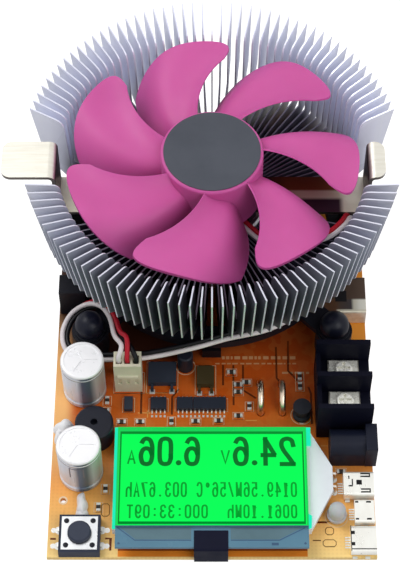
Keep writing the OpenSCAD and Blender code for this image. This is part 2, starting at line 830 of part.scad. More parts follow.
module fan_header() {
  color("ivory") at_board() difference() {
    union() {
      post(header_x, header_y, 0, header_w, header_l, header_h);
      post(header_x, header_y + header_l / 2 + 0.5, 0, header_w - 2, 1, header_h + 7.6);
    }
    for (k = [-1 : 1]) post(header_x + k * plug_pitch, header_y, -1, 0.74, 0.74, header_h + 2);
  }
}

module fan_header_pins() {
  color("gold") at_board()
    for (k = [-1 : 1])
      post(header_x + k * plug_pitch, header_y, under - lead_out, 0.64, 0.64, board_t + lead_out + 10.5);
}

module fan_plug() {
  color("cornsilk") at_board() difference() {
    union() {
      post(header_x, header_y, header_h, header_w, header_l, plug_h);
      post(header_x, header_y - header_l / 2 - 0.3, header_h + 5.6, header_w - 2, 0.6, 1);
    }
    for (k = [-1 : 1]) {
      x = header_x + k * plug_pitch;
      post(x, header_y, header_h - 1, 1, 1, 9.4);
      post(x, header_y - 0.2, plug_top - slot_depth, 1.9, 3, slot_depth + 1);
      post(x, header_y - header_l / 2, header_h + 1.4, 1.1, 1, 3);
    }
  }
}

module power_mosfets() {
  color("#26282e") at_sink()
    for (s = [-1, 1]) {
      middle = s * (mosfet_w / 2 + 0.4);
      front = mosfet_y - mosfet_l / 2;
      post(middle, mosfet_y, 0, mosfet_w, mosfet_l, mosfet_h);
      for (k = [-1 : 1]) {
        post(middle + k * 5.4, front - 1.9, 1.6, 1.2, 4.2, 0.6);
        post(middle + k * 5.4, front - 3.7, 0, 1.2, 0.6, 2.2);
      }
    }
}

module thermal_pad() {
  color("lightslategray") at_sink() post(0, mosfet_y, mosfet_h, 2 * mosfet_w - 0.6, mosfet_l - 0.8, pad_t);
}

module capacitor_cans() {
  crimp = 2.6;
  color("silver") at_board()
    for (y = [can_y, can_rear_y]) translate([can_x, y, 0]) difference() {
      rotate_extrude($fn = 72) difference() {
        union() {
          square_from(0, gap, can_d / 2, can_h - gap - 0.7);
          square_from(0, can_h - 1, can_d / 2 - 0.7, 1);
          translate([can_d / 2 - 0.7, can_h - 0.7]) circle(r = 0.7, $fn = 32);
        }
        translate([can_d / 2 + 0.3, crimp]) circle(r = 0.8, $fn = 24);
        translate([0, -1]) square([can_d / 2 - 1, gap + 1 + 1.6]);
        translate([0, can_h - 0.25]) square([can_d / 2 - 1.1, 1]);
        translate([-can_d, 0]) square([can_d, 2 * can_h]);
      }
      for (a = [0, 120, 240]) rotate([0, 0, a]) block([0, -0.2, can_h - 0.5], [can_d / 2 - 1.9, 0.4, 1]);
    }
}

module capacitor_seals() {
  color("#33302c") at_board()
    for (y = [can_y, can_rear_y]) bar(can_x, y, 0, can_d / 2 - 1 - seat, gap + 1.5, 48);
}

module component_leads() {
  color("lightgray") at_board() {
    for (p = round_leads) bar(p.x, p.y, under - lead_out, lead_r, lead_out + board_t + p.z, 24);
    for (p = tail_pins) {
      bar(p.x, p.y, under - lead_out, lead_r, lead_out + board_t + tail_z + 0.8, 24);
      block([p.x - 0.8, p.y - 0.3, tail_z + 0.6], [1, 0.6, 0.6]);
    }
  }
}

module buzzer_case() {
  r = buzzer_d / 2;
  color("#1b1b22") at_board() translate([buzzer_x, buzzer_y, 0]) rotate_extrude($fn = 72) polygon([
    [0, 0], [r, 0], [r, buzzer_h - 0.5], [r - 0.5, buzzer_h], [1.1, buzzer_h],
    [1.1, buzzer_h - 2], [0, buzzer_h - 2]]);
}

module switch_base() {
  color("#1a1c22") at_board() translate([switch_x, switch_y, 0]) difference() {
    union() {
      post(0, 0, 0, switch_w, switch_w, switch_h);
      for (sx = [-1, 1], sy = [-1, 1])
        bar(sx * rivet_step, sy * rivet_step, switch_h, 0.6, cover_t + 0.25, 24);
    }
    bar(0, 0, cavity_z, cavity_r, switch_h, 48);
  }
}

module switch_cover() {
  color("silver") at_board() translate([switch_x, switch_y, 0]) difference() {
    post(0, 0, switch_h, cover_w, cover_w, cover_t);
    bar(0, 0, switch_h - 1, button_r + 0.12, 2, 48);
    for (sx = [-1, 1], sy = [-1, 1])
      bar(sx * rivet_step, sy * rivet_step, switch_h - 1, 0.6 + seat, 2, 24);
  }
}

// The snap dome: a shallow ring-shaped spring washer with a flat top
module switch_dome() {
  r = cavity_r - 0.3;
  color("gainsboro") at_board() translate([switch_x, switch_y, cavity_z]) rotate_extrude($fn = 48) polygon([
    [r, 0], [r, 0.15], [1.2, dome_h], [0, dome_h], [0, dome_h - 0.15], [1.1, dome_h - 0.15], [r - 0.3, 0]]);
}

module switch_button() {
  flange_z = switch_h - 0.9;
  color("#15161b") at_board() translate([switch_x, switch_y, 0]) {
    rotate_extrude($fn = 64) polygon([
      [0, cavity_z + dome_h + button_travel + 0.05], [1.4, cavity_z + dome_h + button_travel + 0.05],
      [1.4, flange_z], [cavity_r - 0.15, flange_z], [cavity_r - 0.15, switch_h - seat],
      [button_r, switch_h - seat], [button_r, button_top - 0.4], [button_r - 0.4, button_top],
      [0, button_top]]);
  }
}

module switch_pins() {
  color("lightgray") at_board() translate([switch_x, switch_y, 0])
    for (sx = [-1, 1], sy = [-1, 1]) translate([0, sy * switch_pin_step, 0]) {
      block([sx > 0 ? switch_w / 2 : -switch_w / 2 - 0.5, -0.5, 0.6], [0.5, 1, 0.3]);
      post(sx * switch_pin_x, 0, under - lead_out, 0.3, 1, board_t + lead_out + 0.9);
    }
}

module terminal_block() {
  color("#16182a") at_board() difference() {
    union() {
      block([term_x, term_y, 0], [term_depth, term_len, term_floor]);
      for (k = [0 : 2]) block([term_x, term_y + k * term_pitch, 0], [term_depth, term_wall, term_h]);
      block([term_x, term_y, 0], [1.4, term_len, term_h - 5]);
    }
    for (p = screw_points) {
      bar(p.x, p.y, 1.4, screw_r + gap, term_floor);
      post(p.x, p.y, -1, 1.6, 1.4, 3);
    }
  }
}

module terminal_plates() {
  color("lightgray") at_board()
    for (p = screw_points) difference() {
      union() {
        block([p.x - plate_w / 2, p.y - washer_w / 2, term_floor], [plate_w, washer_w, plate_h]);
        post(p.x, p.y, under - lead_out, 1.2, 0.9, board_t + lead_out + 1.2);
      }
      bar(p.x, p.y, term_floor - 1, screw_r + running, plate_h + 2, 48);
    }
}

// A square washer with its two long edges bent down a little
module clamp_washer(p) {
  color("silver") at_board() difference() {
    post(p.x, p.y, washer_z + seat, washer_w, washer_w - 0.6, washer_t);
    bar(p.x, p.y, washer_z - 1, screw_r + 0.1, washer_t + 2, 48);
    for (s = [-1, 1])
      translate([p.x, p.y + s * (washer_w / 2 - 0.3), washer_z + seat + washer_t])
        rotate([45, 0, 0]) cube([washer_w + 2, 0.6, 0.6], center = true);
  }
}

module clamp_washer_1() {
  clamp_washer(screw_points[0]);
}

module clamp_washer_2() {
  clamp_washer(screw_points[1]);
}

// A pan head screw with a cross recess
module terminal_screw(p) {
  head_z = washer_z + 2 * seat + washer_t;
  color("gainsboro") at_board() translate([p.x, p.y, head_z]) difference() {
    union() {
      rotate_extrude($fn = 48) intersection() {
        union() {
          square_from(0, 0, screw_head_r, screw_head_h - 0.7);
          square_from(0, 0, screw_head_r - 0.7, screw_head_h);
          translate([screw_head_r - 0.7, screw_head_h - 0.7]) circle(r = 0.7, $fn = 32);
        }
        square(3 * screw_head_r);
      }
      translate([0, 0, -screw_len]) cylinder(r = screw_r, h = screw_len + 0.5, $fn = 48);
    }
    for (a = [0, 90]) rotate([0, 0, a])
      block([-1.9, -0.4, screw_head_h - 1], [3.8, 0.8, 2]);
  }
}

module terminal_screw_1() {
  terminal_screw(screw_points[0]);
}

module terminal_screw_2() {
  terminal_screw(screw_points[1]);
}

jack_front = right_x + 0.9;
jack_back = right_x - 13;
jack_flange = 3.4;
jack_depth = 9.5;
jack_axis = jack_h - jack_w / 2;
jack_lead_x = [jack_back + 1.5, jack_back + 7];

module dc_jack_housing() {
  barrel_r = jack_w / 2 - 0.35;
  color("#15171f") at_board() difference() {
    union() {
      along_x(jack_back, jack_front - jack_back, jack_y, 0) {
        translate([0, jack_axis]) circle(r = barrel_r, $fn = 72);
        translate([-barrel_r, 0]) square([2 * barrel_r, jack_axis]);
      }
      along_x(jack_front - jack_flange, jack_flange, jack_y, 0)
        translate([0, jack_h / 2]) round_rect(jack_w, jack_h, 0.6);
    }
    translate([jack_front - jack_depth, jack_y, jack_axis]) rotate([0, 90, 0])
      cylinder(r = jack_bore_r, h = jack_depth + 1, $fn = 64);
    translate([jack_back + 2, jack_y, jack_axis]) rotate([0, 90, 0])
      cylinder(r = jack_pin_r + seat, h = 8, $fn = 48);
    for (x = jack_lead_x) post(x, jack_y, -1, 0.9, 2.1, 2.2);
  }
}

module dc_jack_contacts() {
  color("lightgray") at_board() {
    translate([jack_back + 2, jack_y, jack_axis]) rotate([0, 90, 0])
      cylinder(r = jack_pin_r, h = jack_front - jack_back - 3.2, $fn = 48);
    for (x = jack_lead_x) post(x, jack_y, under - lead_out, 0.8, 1.8, board_t + lead_out + 1.2);
  }
}

// A socket's sheet metal shell, open to the right, on the board's edge
module socket_shell(y, w, h, depth, round_r, out = 0) {
  x0 = right_x - depth + out;
  color("silver") at_board() {
    along_x(x0, depth, y, h / 2) difference() {
      round_rect(w, h, round_r);
      round_rect(w - 2 * shell_t, h - 2 * shell_t, round_r - shell_t / 2);
    }
    along_x(x0, shell_t, y, h / 2) round_rect(w, h, round_r);
  }
}

large_h = 6.6;
large_y = sink_y - 23;
large_depth = 13.6;
mini_h = 4;
mini_depth = 9;
micro_h = 2.9;
micro_depth = 5.8;
oval_h = 3.26;
oval_depth = 7.5;

module usb_a_shell() {
  socket_shell(large_y, large_w, large_h, large_depth, 0.5);
}

module usb_mini_shell() {
  socket_shell(mini_y, mini_w, mini_h, mini_depth, 0.8, -0.2);
}

module usb_micro_shell() {
  socket_shell(micro_y, micro_w, micro_h, micro_depth, 0.9, -0.4);
}

module usb_c_shell() {
  socket_shell(oval_y, oval_w, oval_h, oval_depth, oval_h / 2 - 0.02, -0.2);
}

// The insulator of a socket: a block at the back and a tongue
module socket_tongue(y, w, h, depth, round_r, tongue_w, tongue_t, lift, out = 0) {
  x0 = right_x - depth + out + shell_t;
  post(x0 + 0.9, y, shell_t + seat, 1.8, w - 2 * shell_t - 2 * round_r, h - 2 * shell_t - 2 * seat);
  block([x0 + 1.7, y - tongue_w / 2, h / 2 - tongue_t / 2 + lift], [depth - 2.8, tongue_w, tongue_t]);
}

module usb_tongues() {
  color("#202228") at_board() {
    socket_tongue(large_y, large_w, large_h, large_depth, 0.5, 11, 1.8, 1);
    socket_tongue(mini_y, mini_w, mini_h, mini_depth, 0.8, 4.6, 1, 0, -0.2);
    socket_tongue(micro_y, micro_w, micro_h, micro_depth, 0.9, 4, 0.6, 0.3, -0.4);
    socket_tongue(oval_y, oval_w, oval_h, oval_depth, 1.6, 5, 0.7, 0, -0.2);
  }
}

module lcd_backlight() {
  half = display_w / 2;
  y0 = display_y;
  y1 = display_y + display_l;
  color("aquamarine") at_board() {
    block([-half, y0, display_z], [display_w, display_l, backlight_h]);
    translate([0, 0, tail_z]) linear_extrude(tail_h) polygon([
      [half - 1, y0], [half, y0], [half + tail_reach, y0 + display_l * 0.39],
      [half + tail_reach, y0 + display_l * 0.63], [half, y1], [half - 1, y1]]);
    for (sx = [-1, 1], y = [y0 + 3, y1 - 3]) bar(sx * (half - 3), y, 0, 1.5, display_z + 0.5, 24);
  }
}

module lcd_glass() {
  color("lightgreen") at_board() {
    block([-glass_w / 2, ledge_y, glass_z], [glass_w, glass_back - ledge_y, glass_t]);
    block([-glass_w / 2, display_y + 0.1, glass_z + glass_t],
      [glass_w, glass_back - display_y - 0.1, glass_t]);
  }
}

module lcd_polariser() {
  color("limegreen") at_board()
    block([-glass_w / 2 + 0.6, display_y + 0.4, glass_z + 2 * glass_t],
      [glass_w - 1.2, display_l - 2.2, 0.2]);
}

// A quarter turn of the flexible lead, round its own corner
module flex_turn(y, z, side) {
  translate([y, z]) intersection() {
    difference() {
      circle(r = flex_bend, $fn = 32);
      circle(r = flex_bend - flex_t, $fn = 32);
    }
    translate([-flex_bend, side > 0 ? 0 : -flex_bend]) square(flex_bend);
  }
}

module lcd_flex() {
  turn_y = flex_bend - flex_out;
  top_z = flex_top + flex_t - flex_bend;
  low_z = under - seat - flex_t + flex_bend;
  color("#17181d") at_board()
    along_x(flex_x - flex_w / 2, flex_w, 0, 0) {
      square_from(turn_y, flex_top, 5.5, flex_t);
      flex_turn(turn_y, top_z, 1);
      square_from(-flex_out, low_z, flex_t, top_z - low_z);
      flex_turn(turn_y, low_z, -1);
      square_from(turn_y, low_z - flex_bend, 6, flex_t);
    }
}

module current_shunts() {
  r = shunt_span / 2;
  color("#d8c9b0") at_board()
    for (x = shunt_x) translate([x, shunt_y, 0]) {
      rotate([0, -90, 0]) rotate([0, 0, -90]) rotate_extrude(angle = 180, $fn = 64)
        translate([r, 0]) circle(r = shunt_r, $fn = 24);
      for (s = [-1, 1]) bar(0, s * r, under - lead_out, shunt_r, board_t + lead_out, 24);
    }
}

// Bodies of the surface-mounted transistors: place, width, length, height
module power_transistors() {
  color("#3a4250") at_board() {
    tab_transistor(tab_x, tab_y, tab_w, tab_l);
    tab_transistor(slim_x, slim_y, slim_w, slim_l);
    post(header_x, ic_y, 0.1, 2.6, 4.5, 1.5);
  }
}

// A flat power transistor with its metal tab behind and two legs in front
module tab_transistor(x, y, w, l) {
  post(x, y, 0.1, w, l, 2.3);
  post(x, y + l / 2 + 0.6, 0.1, w - 1, 1.2, 0.6);
  for (s = [-1, 1]) {
    post(x + s * w * 0.35, y - l / 2 - 0.7, 0.8, 0.9, 1.4, 0.5);
    post(x + s * w * 0.35, y - l / 2 - 1.6, 0, 0.9, 1, 0.5);
    post(x + s * w * 0.35, y - l / 2 - 1.3, 0.2, 0.9, 0.5, 1.1);
  }
}

// Small outline packages: middle, number of pins on a side
ic_y = 50.5;
ic_pitch = 1.27;
ic_l = 4;
ic_h = 1.6;
ic_list = [[header_x + 9.15, 4], [header_x + 17.15, 4], [header_x + 24.75, 8]];
function ic_w(pins) = (pins - 1) * ic_pitch + 1.1;

module ic_bodies() {
  color("#2b2b2f") at_board()
    for (c = ic_list) post(c[0], ic_y, 0.15, ic_w(c[1]), ic_l, ic_h - 0.15);
}

module ic_pins() {
  color("gainsboro") at_board()
    for (c = ic_list, k = [0 : c[1] - 1], s = [0, 1])
      translate([c[0] + (k - (c[1] - 1) / 2) * ic_pitch, ic_y, 0]) mirror([0, s, 0])
        translate([-0.2, ic_l / 2, 0]) gull_wing();
}

// A pin bent down to the board, seen from the side
module gull_wing() {
  along_x(0, 0.4, 0, 0) polygon([
    [0, 0.7], [0.3, 0.7], [0.3, 0], [1, 0], [1, 0.2], [0.5, 0.2], [0.5, 0.9], [0, 0.9]]);
}

// Chip resistors and capacitors: middle, quarter turn or not. Those on the left
// keep their distance to the plug, those on the right to the terminal block
chip_list = [
  [header_x - 6.55, 52, 1], [header_x - 7.05, 48.5, 0], [header_x - 1.95, 44.6, 0],
  [header_x + 3.65, 44.6, 0], [header_x + 13.15, 44.8, 1], [header_x + 20.45, 44.8, 0],
  [header_x + 27.45, 45, 0], [header_x + 31.45, 62, 0],
  [term_x - 23.4, 55, 0], [term_x - 23.4, 46.7, 0], [term_x - 20, 50, 1],
  [term_x - 23.4, 57.6, 0], [term_x - 20.8, 58.4, 0], [term_x - 4.4, 57, 1],
  [term_x - 4.4, 60.5, 1], [right_x - 9.5, 27.7, 0],
  [-display_w / 2 - 4.5, 16, 1], [-display_w / 2 - 2.6, 22, 1]];
chip_l = 2;
chip_w = 1.25;
chip_h = 0.6;

module chip_parts() {
  color("#c9b79a") at_board()
    for (c = chip_list) translate([c[0], c[1], 0]) rotate([0, 0, c[2] * 90])
      post(0, 0, 0, chip_l, chip_w, chip_h);
}

module edge_relay() {
  color("#1d1f27") at_board()
    block([relay_x, relay_y, 0], [relay_w, relay_l, relay_h]);
}

module status_led() {
  color("whitesmoke") at_board() translate([led_x, led_y, led_z]) rotate_extrude($fn = 48)
    intersection() {
      union() {
        square_from(0, 0, 2.9, 1);
        square_from(0, 0, 2.5, 3.4);
        translate([0, 3.4]) circle(r = 2.5, $fn = 48);
      }
      square(8);
    }
}

module filter_choke() {
  color("#1f2129") at_board() translate([choke_x, choke_y, 0]) rotate_extrude($fn = 64) polygon([
    [0, 0], [choke_r, 0], [choke_r, 1.2], [choke_r - 0.7, 1.6], [choke_r - 0.7, choke_h - 1.6],
    [choke_r, choke_h - 1.2], [choke_r, choke_h], [0, choke_h]]);
}

module small_capacitor() {
  color("#2a2f3a") at_board() translate([small_can_x, small_can_y, 0]) rotate_extrude($fn = 48) polygon([
    [0, 0], [small_can_r, 0], [small_can_r, small_can_h - 0.4], [small_can_r - 0.4, small_can_h],
    [0, small_can_h]]);
}

circuit_board();
heatsink_core();
lower_fins();
upper_fins();
mounting_frame();
retention_sleeves();
retention_pins();
clip_strap();
fan_base();
fan_bearing();
fan_stator();
stator_windings();
fan_motor_board();
fan_rotor();
fan_magnet();
fan_shaft();
hub_label();
fan_wire_white();
fan_wire_red();
fan_wire_black();
fan_header();
fan_header_pins();
fan_plug();
power_mosfets();
thermal_pad();
capacitor_cans();
capacitor_seals();
component_leads();
buzzer_case();
switch_base();
switch_cover();
switch_dome();
switch_button();
switch_pins();
terminal_block();
terminal_plates();
clamp_washer_1();
clamp_washer_2();
terminal_screw_1();
terminal_screw_2();
dc_jack_housing();
dc_jack_contacts();
usb_a_shell();
usb_mini_shell();
usb_micro_shell();
usb_c_shell();
usb_tongues();
lcd_backlight();
lcd_glass();
lcd_polariser();
lcd_flex();
current_shunts();
power_transistors();
ic_bodies();
ic_pins();
chip_parts();
edge_relay();
status_led();
filter_choke();
small_capacitor();
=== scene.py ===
"""Battery capacity tester: the looks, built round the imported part.

Lengths are in metres in the part's frame: x right, y back, z up. Places on the board are given in
millimetres from the middle of its front edge, on its upper face, and places on the heat sink from
its middle, as in the part's source.
"""

import json
import math
import random

import bmesh
import bpy
from mathutils import Matrix, Vector

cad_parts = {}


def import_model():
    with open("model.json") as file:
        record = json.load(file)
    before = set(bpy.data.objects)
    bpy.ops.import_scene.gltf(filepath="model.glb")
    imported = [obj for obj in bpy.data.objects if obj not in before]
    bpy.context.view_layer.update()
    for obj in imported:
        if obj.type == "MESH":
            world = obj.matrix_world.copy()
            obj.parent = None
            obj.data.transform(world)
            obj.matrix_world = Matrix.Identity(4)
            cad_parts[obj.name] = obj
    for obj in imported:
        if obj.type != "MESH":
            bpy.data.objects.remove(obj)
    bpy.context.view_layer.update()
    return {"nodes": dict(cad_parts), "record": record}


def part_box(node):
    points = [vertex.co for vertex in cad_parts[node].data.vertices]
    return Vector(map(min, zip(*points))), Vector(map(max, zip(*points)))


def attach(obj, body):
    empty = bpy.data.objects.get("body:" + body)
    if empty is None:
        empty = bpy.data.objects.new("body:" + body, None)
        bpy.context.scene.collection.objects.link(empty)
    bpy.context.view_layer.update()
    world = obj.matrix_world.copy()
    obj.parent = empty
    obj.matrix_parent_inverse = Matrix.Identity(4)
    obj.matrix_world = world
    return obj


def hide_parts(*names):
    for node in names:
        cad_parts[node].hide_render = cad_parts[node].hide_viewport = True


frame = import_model()
NODES = frame["nodes"]
MM = 0.001

board_lo, board_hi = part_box("circuit_board")
label_lo, label_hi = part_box("hub_label")
BOARD = Vector(((board_lo.x + board_hi.x) / 2, board_lo.y, board_hi.z))
SINK = Vector(((label_lo.x + label_hi.x) / 2, (label_lo.y + label_hi.y) / 2, board_hi.z))
BOARD_T = board_hi.z - board_lo.z

# Thickness of print on the board and of thin lines, in millimetres
PRINT_T = 0.02
LINE_T = 0.03


def add_object(name, data):
    obj = bpy.data.objects.new(name, data)
    bpy.context.scene.collection.objects.link(obj)
    return obj


# Camera

PHOTO_SIZE = (400, 566)
FOCAL = 116.4
SENSOR = 36
TILT = 57
CAMERA_FROM_EDGE = 222.4
CAMERA_HEIGHT = 488.7
CENTRE_LINE_PX = 212


def make_camera():
    data = bpy.data.cameras.new("camera")
    data.lens = FOCAL
    data.sensor_width = SENSOR
    data.shift_x = (PHOTO_SIZE[0] / 2 - CENTRE_LINE_PX) / max(PHOTO_SIZE)
    data.clip_start = 0.01
    data.clip_end = 20
    camera = add_object("camera", data)
    camera.location = BOARD + Vector((0, -CAMERA_FROM_EDGE, CAMERA_HEIGHT)) * MM
    camera.rotation_euler = (math.radians(90 - TILT), 0, 0)
    bpy.context.scene.camera = camera


make_camera()


# Geometry helpers


class Shape:
    """Gathers the faces of one piece. Points are in millimetres, from the given origin."""

    def __init__(self, origin=BOARD):
        self.origin = origin
        self.points = []
        self.faces = []

    def add(self, points, faces):
        start = len(self.points)
        self.points += [Vector(p) for p in points]
        self.faces += [[start + i for i in face] for face in faces]

    def rings(self, points, steps):
        """Rings of so many points, joined each to the next and closed at both ends."""
        last = len(points) - steps
        faces = [list(range(steps - 1, -1, -1)), list(range(last, last + steps))]
        for i in range(0, last, steps):
            for k in range(steps):
                m = (k + 1) % steps
                faces.append([i + k, i + m, i + steps + m, i + steps + k])
        self.add(points, faces)

    def slab(self, outline, z0, z1):
        """A flat outline in x and y, from z0 up to z1."""
        self.rings([(x, y, z) for z in (z0, z1) for x, y in outline], len(outline))

    def block(self, lo, hi):
        self.slab([(lo[0], lo[1]), (hi[0], lo[1]), (hi[0], hi[1]), (lo[0], hi[1])], lo[2], hi[2])

    def disc(self, centre, radius, z0, z1, steps=24):
        self.slab([around(centre, radius, i / steps) for i in range(steps)], z0, z1)

    def ribbon(self, line, width, z0, z1):
        """A flat strip of one width along a line of points in x and y."""
        line = [Vector(p) for p in line]
        last = len(line) - 1
        points = []
        for i, here in enumerate(line):
            before = line[max(i - 1, 0)]
            after = line[min(i + 1, last)]
            way = (after - before).normalized()
            side = Vector((-way.y, way.x)) * width / 2
            if 0 < i < last:
                bend = (here - before).angle_signed(after - here, 0)
                side /= max(0.5, math.cos(bend / 2))
            left = here + side
            right = here - side
            points += [(*right, z0), (*left, z0), (*right, z1), (*left, z1)]
        faces = []
        for i in range(0, 4 * last, 4):
            j = i + 4
            faces.append([i, i + 1, j + 1, j])
            faces.append([i + 2, j + 2, j + 3, i + 3])
            faces.append([i, j, j + 2, i + 2])
            faces.append([j + 1, i + 1, i + 3, j + 3])
        faces.append([0, 2, 3, 1])
        faces.append([4 * last + i for i in (0, 1, 3, 2)])
        self.add(points, faces)

    def lathe(self, centre, profile, steps=48):
        """A profile in radius and height turned about the upright line through a point."""
        rings = []
        points = []
        for radius, height in profile:
            count = 1 if radius < 1e-6 else steps
            rings.append([len(points) + k for k in range(count)])
            for k in range(count):
                a = 2 * math.pi * k / steps
                points.append(Vector(centre) + Vector((radius * math.cos(a), radius * math.sin(a), height)))
        faces = []
        for low, high in zip(rings, rings[1:]):
            for k in range(steps):
                m = (k + 1) % steps
                face = [low[k % len(low)], low[m % len(low)], high[m % len(high)], high[k % len(high)]]
                face = list(dict.fromkeys(face))
                if len(face) > 2:
                    faces.append(face)
        self.add(points, faces)

    def tube(self, line, radius, sides):
        """A closed round tube along a line of points in space."""
        line = [Vector(p) for p in line]
        n = len(line)
        way = (line[1] - line[0]).normalized()
        across = way.orthogonal().normalized()
        points = []
        for i, p in enumerate(line):
            way = (line[min(i + 1, n - 1)] - line[max(i - 1, 0)]).normalized()
            across = (across - way * across.dot(way)).normalized()
            up = way.cross(across)
            for k in range(sides):
                a = 2 * math.pi * k / sides
                points.append(p + (across * math.cos(a) + up * math.sin(a)) * radius)
        self.rings(points, sides)

    def piece(self, name, material, body="root", slot=None, smooth=None):
        """Makes the mesh in a named material, puts it in the scene and lets it ride on a body."""
        mesh = bpy.data.meshes.new(name)
        mesh.from_pydata([self.origin + p * MM for p in self.points], [], self.faces)
        work = bmesh.new()
        work.from_mesh(mesh)
        bmesh.ops.recalc_face_normals(work, faces=work.faces)
        work.to_mesh(mesh)
        work.free()
        mesh.materials.append(MATERIALS[material])
        obj = add_object(name, mesh)
        if smooth is not None:
            shade_smooth(obj, smooth)
        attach(obj, body)
        return obj


def around(centre, radius, share):
    a = 2 * math.pi * share
    return (centre[0] + radius * math.cos(a), centre[1] + radius * math.sin(a))


def shade_smooth(obj, angle):
    """Smooth shading, with the edges sharper than angle degrees kept sharp."""
    mesh = obj.data
    mesh.polygons.foreach_set("use_smooth", [True] * len(mesh.polygons))
    work = bmesh.new()
    work.from_mesh(mesh)
    for edge in work.edges:
        if len(edge.link_faces) == 2:
            edge.smooth = edge.calc_face_angle(0) < math.radians(angle)
    work.to_mesh(mesh)
    work.free()


def solids(node):
    """The box of each separate solid in a CAD node, in millimetres on the board."""
    mesh = NODES[node].data
    keys = {}
    parent = []

    def find(i):
        while parent[i] != i:
            parent[i] = parent[parent[i]]
            i = parent[i]
        return i

    index = []
    for v in mesh.vertices:
        key = tuple(round(c, 6) for c in v.co)
        if key not in keys:
            keys[key] = len(parent)
            parent.append(len(parent))
        index.append(keys[key])
    for polygon in mesh.polygons:
        first = find(index[polygon.vertices[0]])
        for v in polygon.vertices[1:]:
            parent[find(index[v])] = first
    groups = {}
    for key, i in keys.items():
        groups.setdefault(find(i), []).append(key)
    boxes = []
    for points in groups.values():
        lo = Vector([min(p[a] for p in points) for a in range(3)])
        hi = Vector([max(p[a] for p in points) for a in range(3)])
        boxes.append(((lo - BOARD) / MM, (hi - BOARD) / MM))
    return sorted(boxes, key=lambda b: (round(b[0].x, 2), round(b[0].y, 2)))


def board_box(node):
    """The box of a CAD node, in millimetres on the board."""
    return [(corner - BOARD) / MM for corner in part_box(node)]


def smooth_line(points, steps=6):
    """A smooth curve through the points, with so many steps between each two."""
    points = [Vector(p) for p in points]
    last = len(points) - 1
    line = []
    for i in range(last):
        a, b, c, d = (points[k] for k in (max(i - 1, 0), i, i + 1, min(i + 2, last)))
        square = 2 * a - 5 * b + 4 * c - d
        cube = 3 * b - a - 3 * c + d
        for k in range(steps):
            t = k / steps
            line.append(0.5 * (2 * b + (c - a) * t + square * t**2 + cube * t**3))
    line.append(points[-1])
    return line


# Materials

WHITE = (1, 1, 1, 1)


def srgb(red, green, blue):
    """A colour as it is seen on a screen, 0 to 255, as the shader wants it."""

    def linear(c):
        c /= 255
        return c / 12.92 if c <= 0.04045 else ((c + 0.055) / 1.055) ** 2.4

    return (linear(red), linear(green), linear(blue), 1)


def shade(colour, share):
    return tuple(min(1.0, c * share) for c in colour[:3]) + (1,)


def feed(tree, node, inputs):
    """Sets inputs of a node, by name or number, or links them to the output given."""
    for key, value in inputs.items():
        if isinstance(value, bpy.types.NodeSocket):
            tree.links.new(value, node.inputs[key])
        else:
            node.inputs[key].default_value = value


def new_node(tree, kind, inputs=(), **settings):
    node = tree.nodes.new("ShaderNode" + kind)
    for name, value in settings.items():
        setattr(node, name, value)
    feed(tree, node, dict(inputs))
    return node


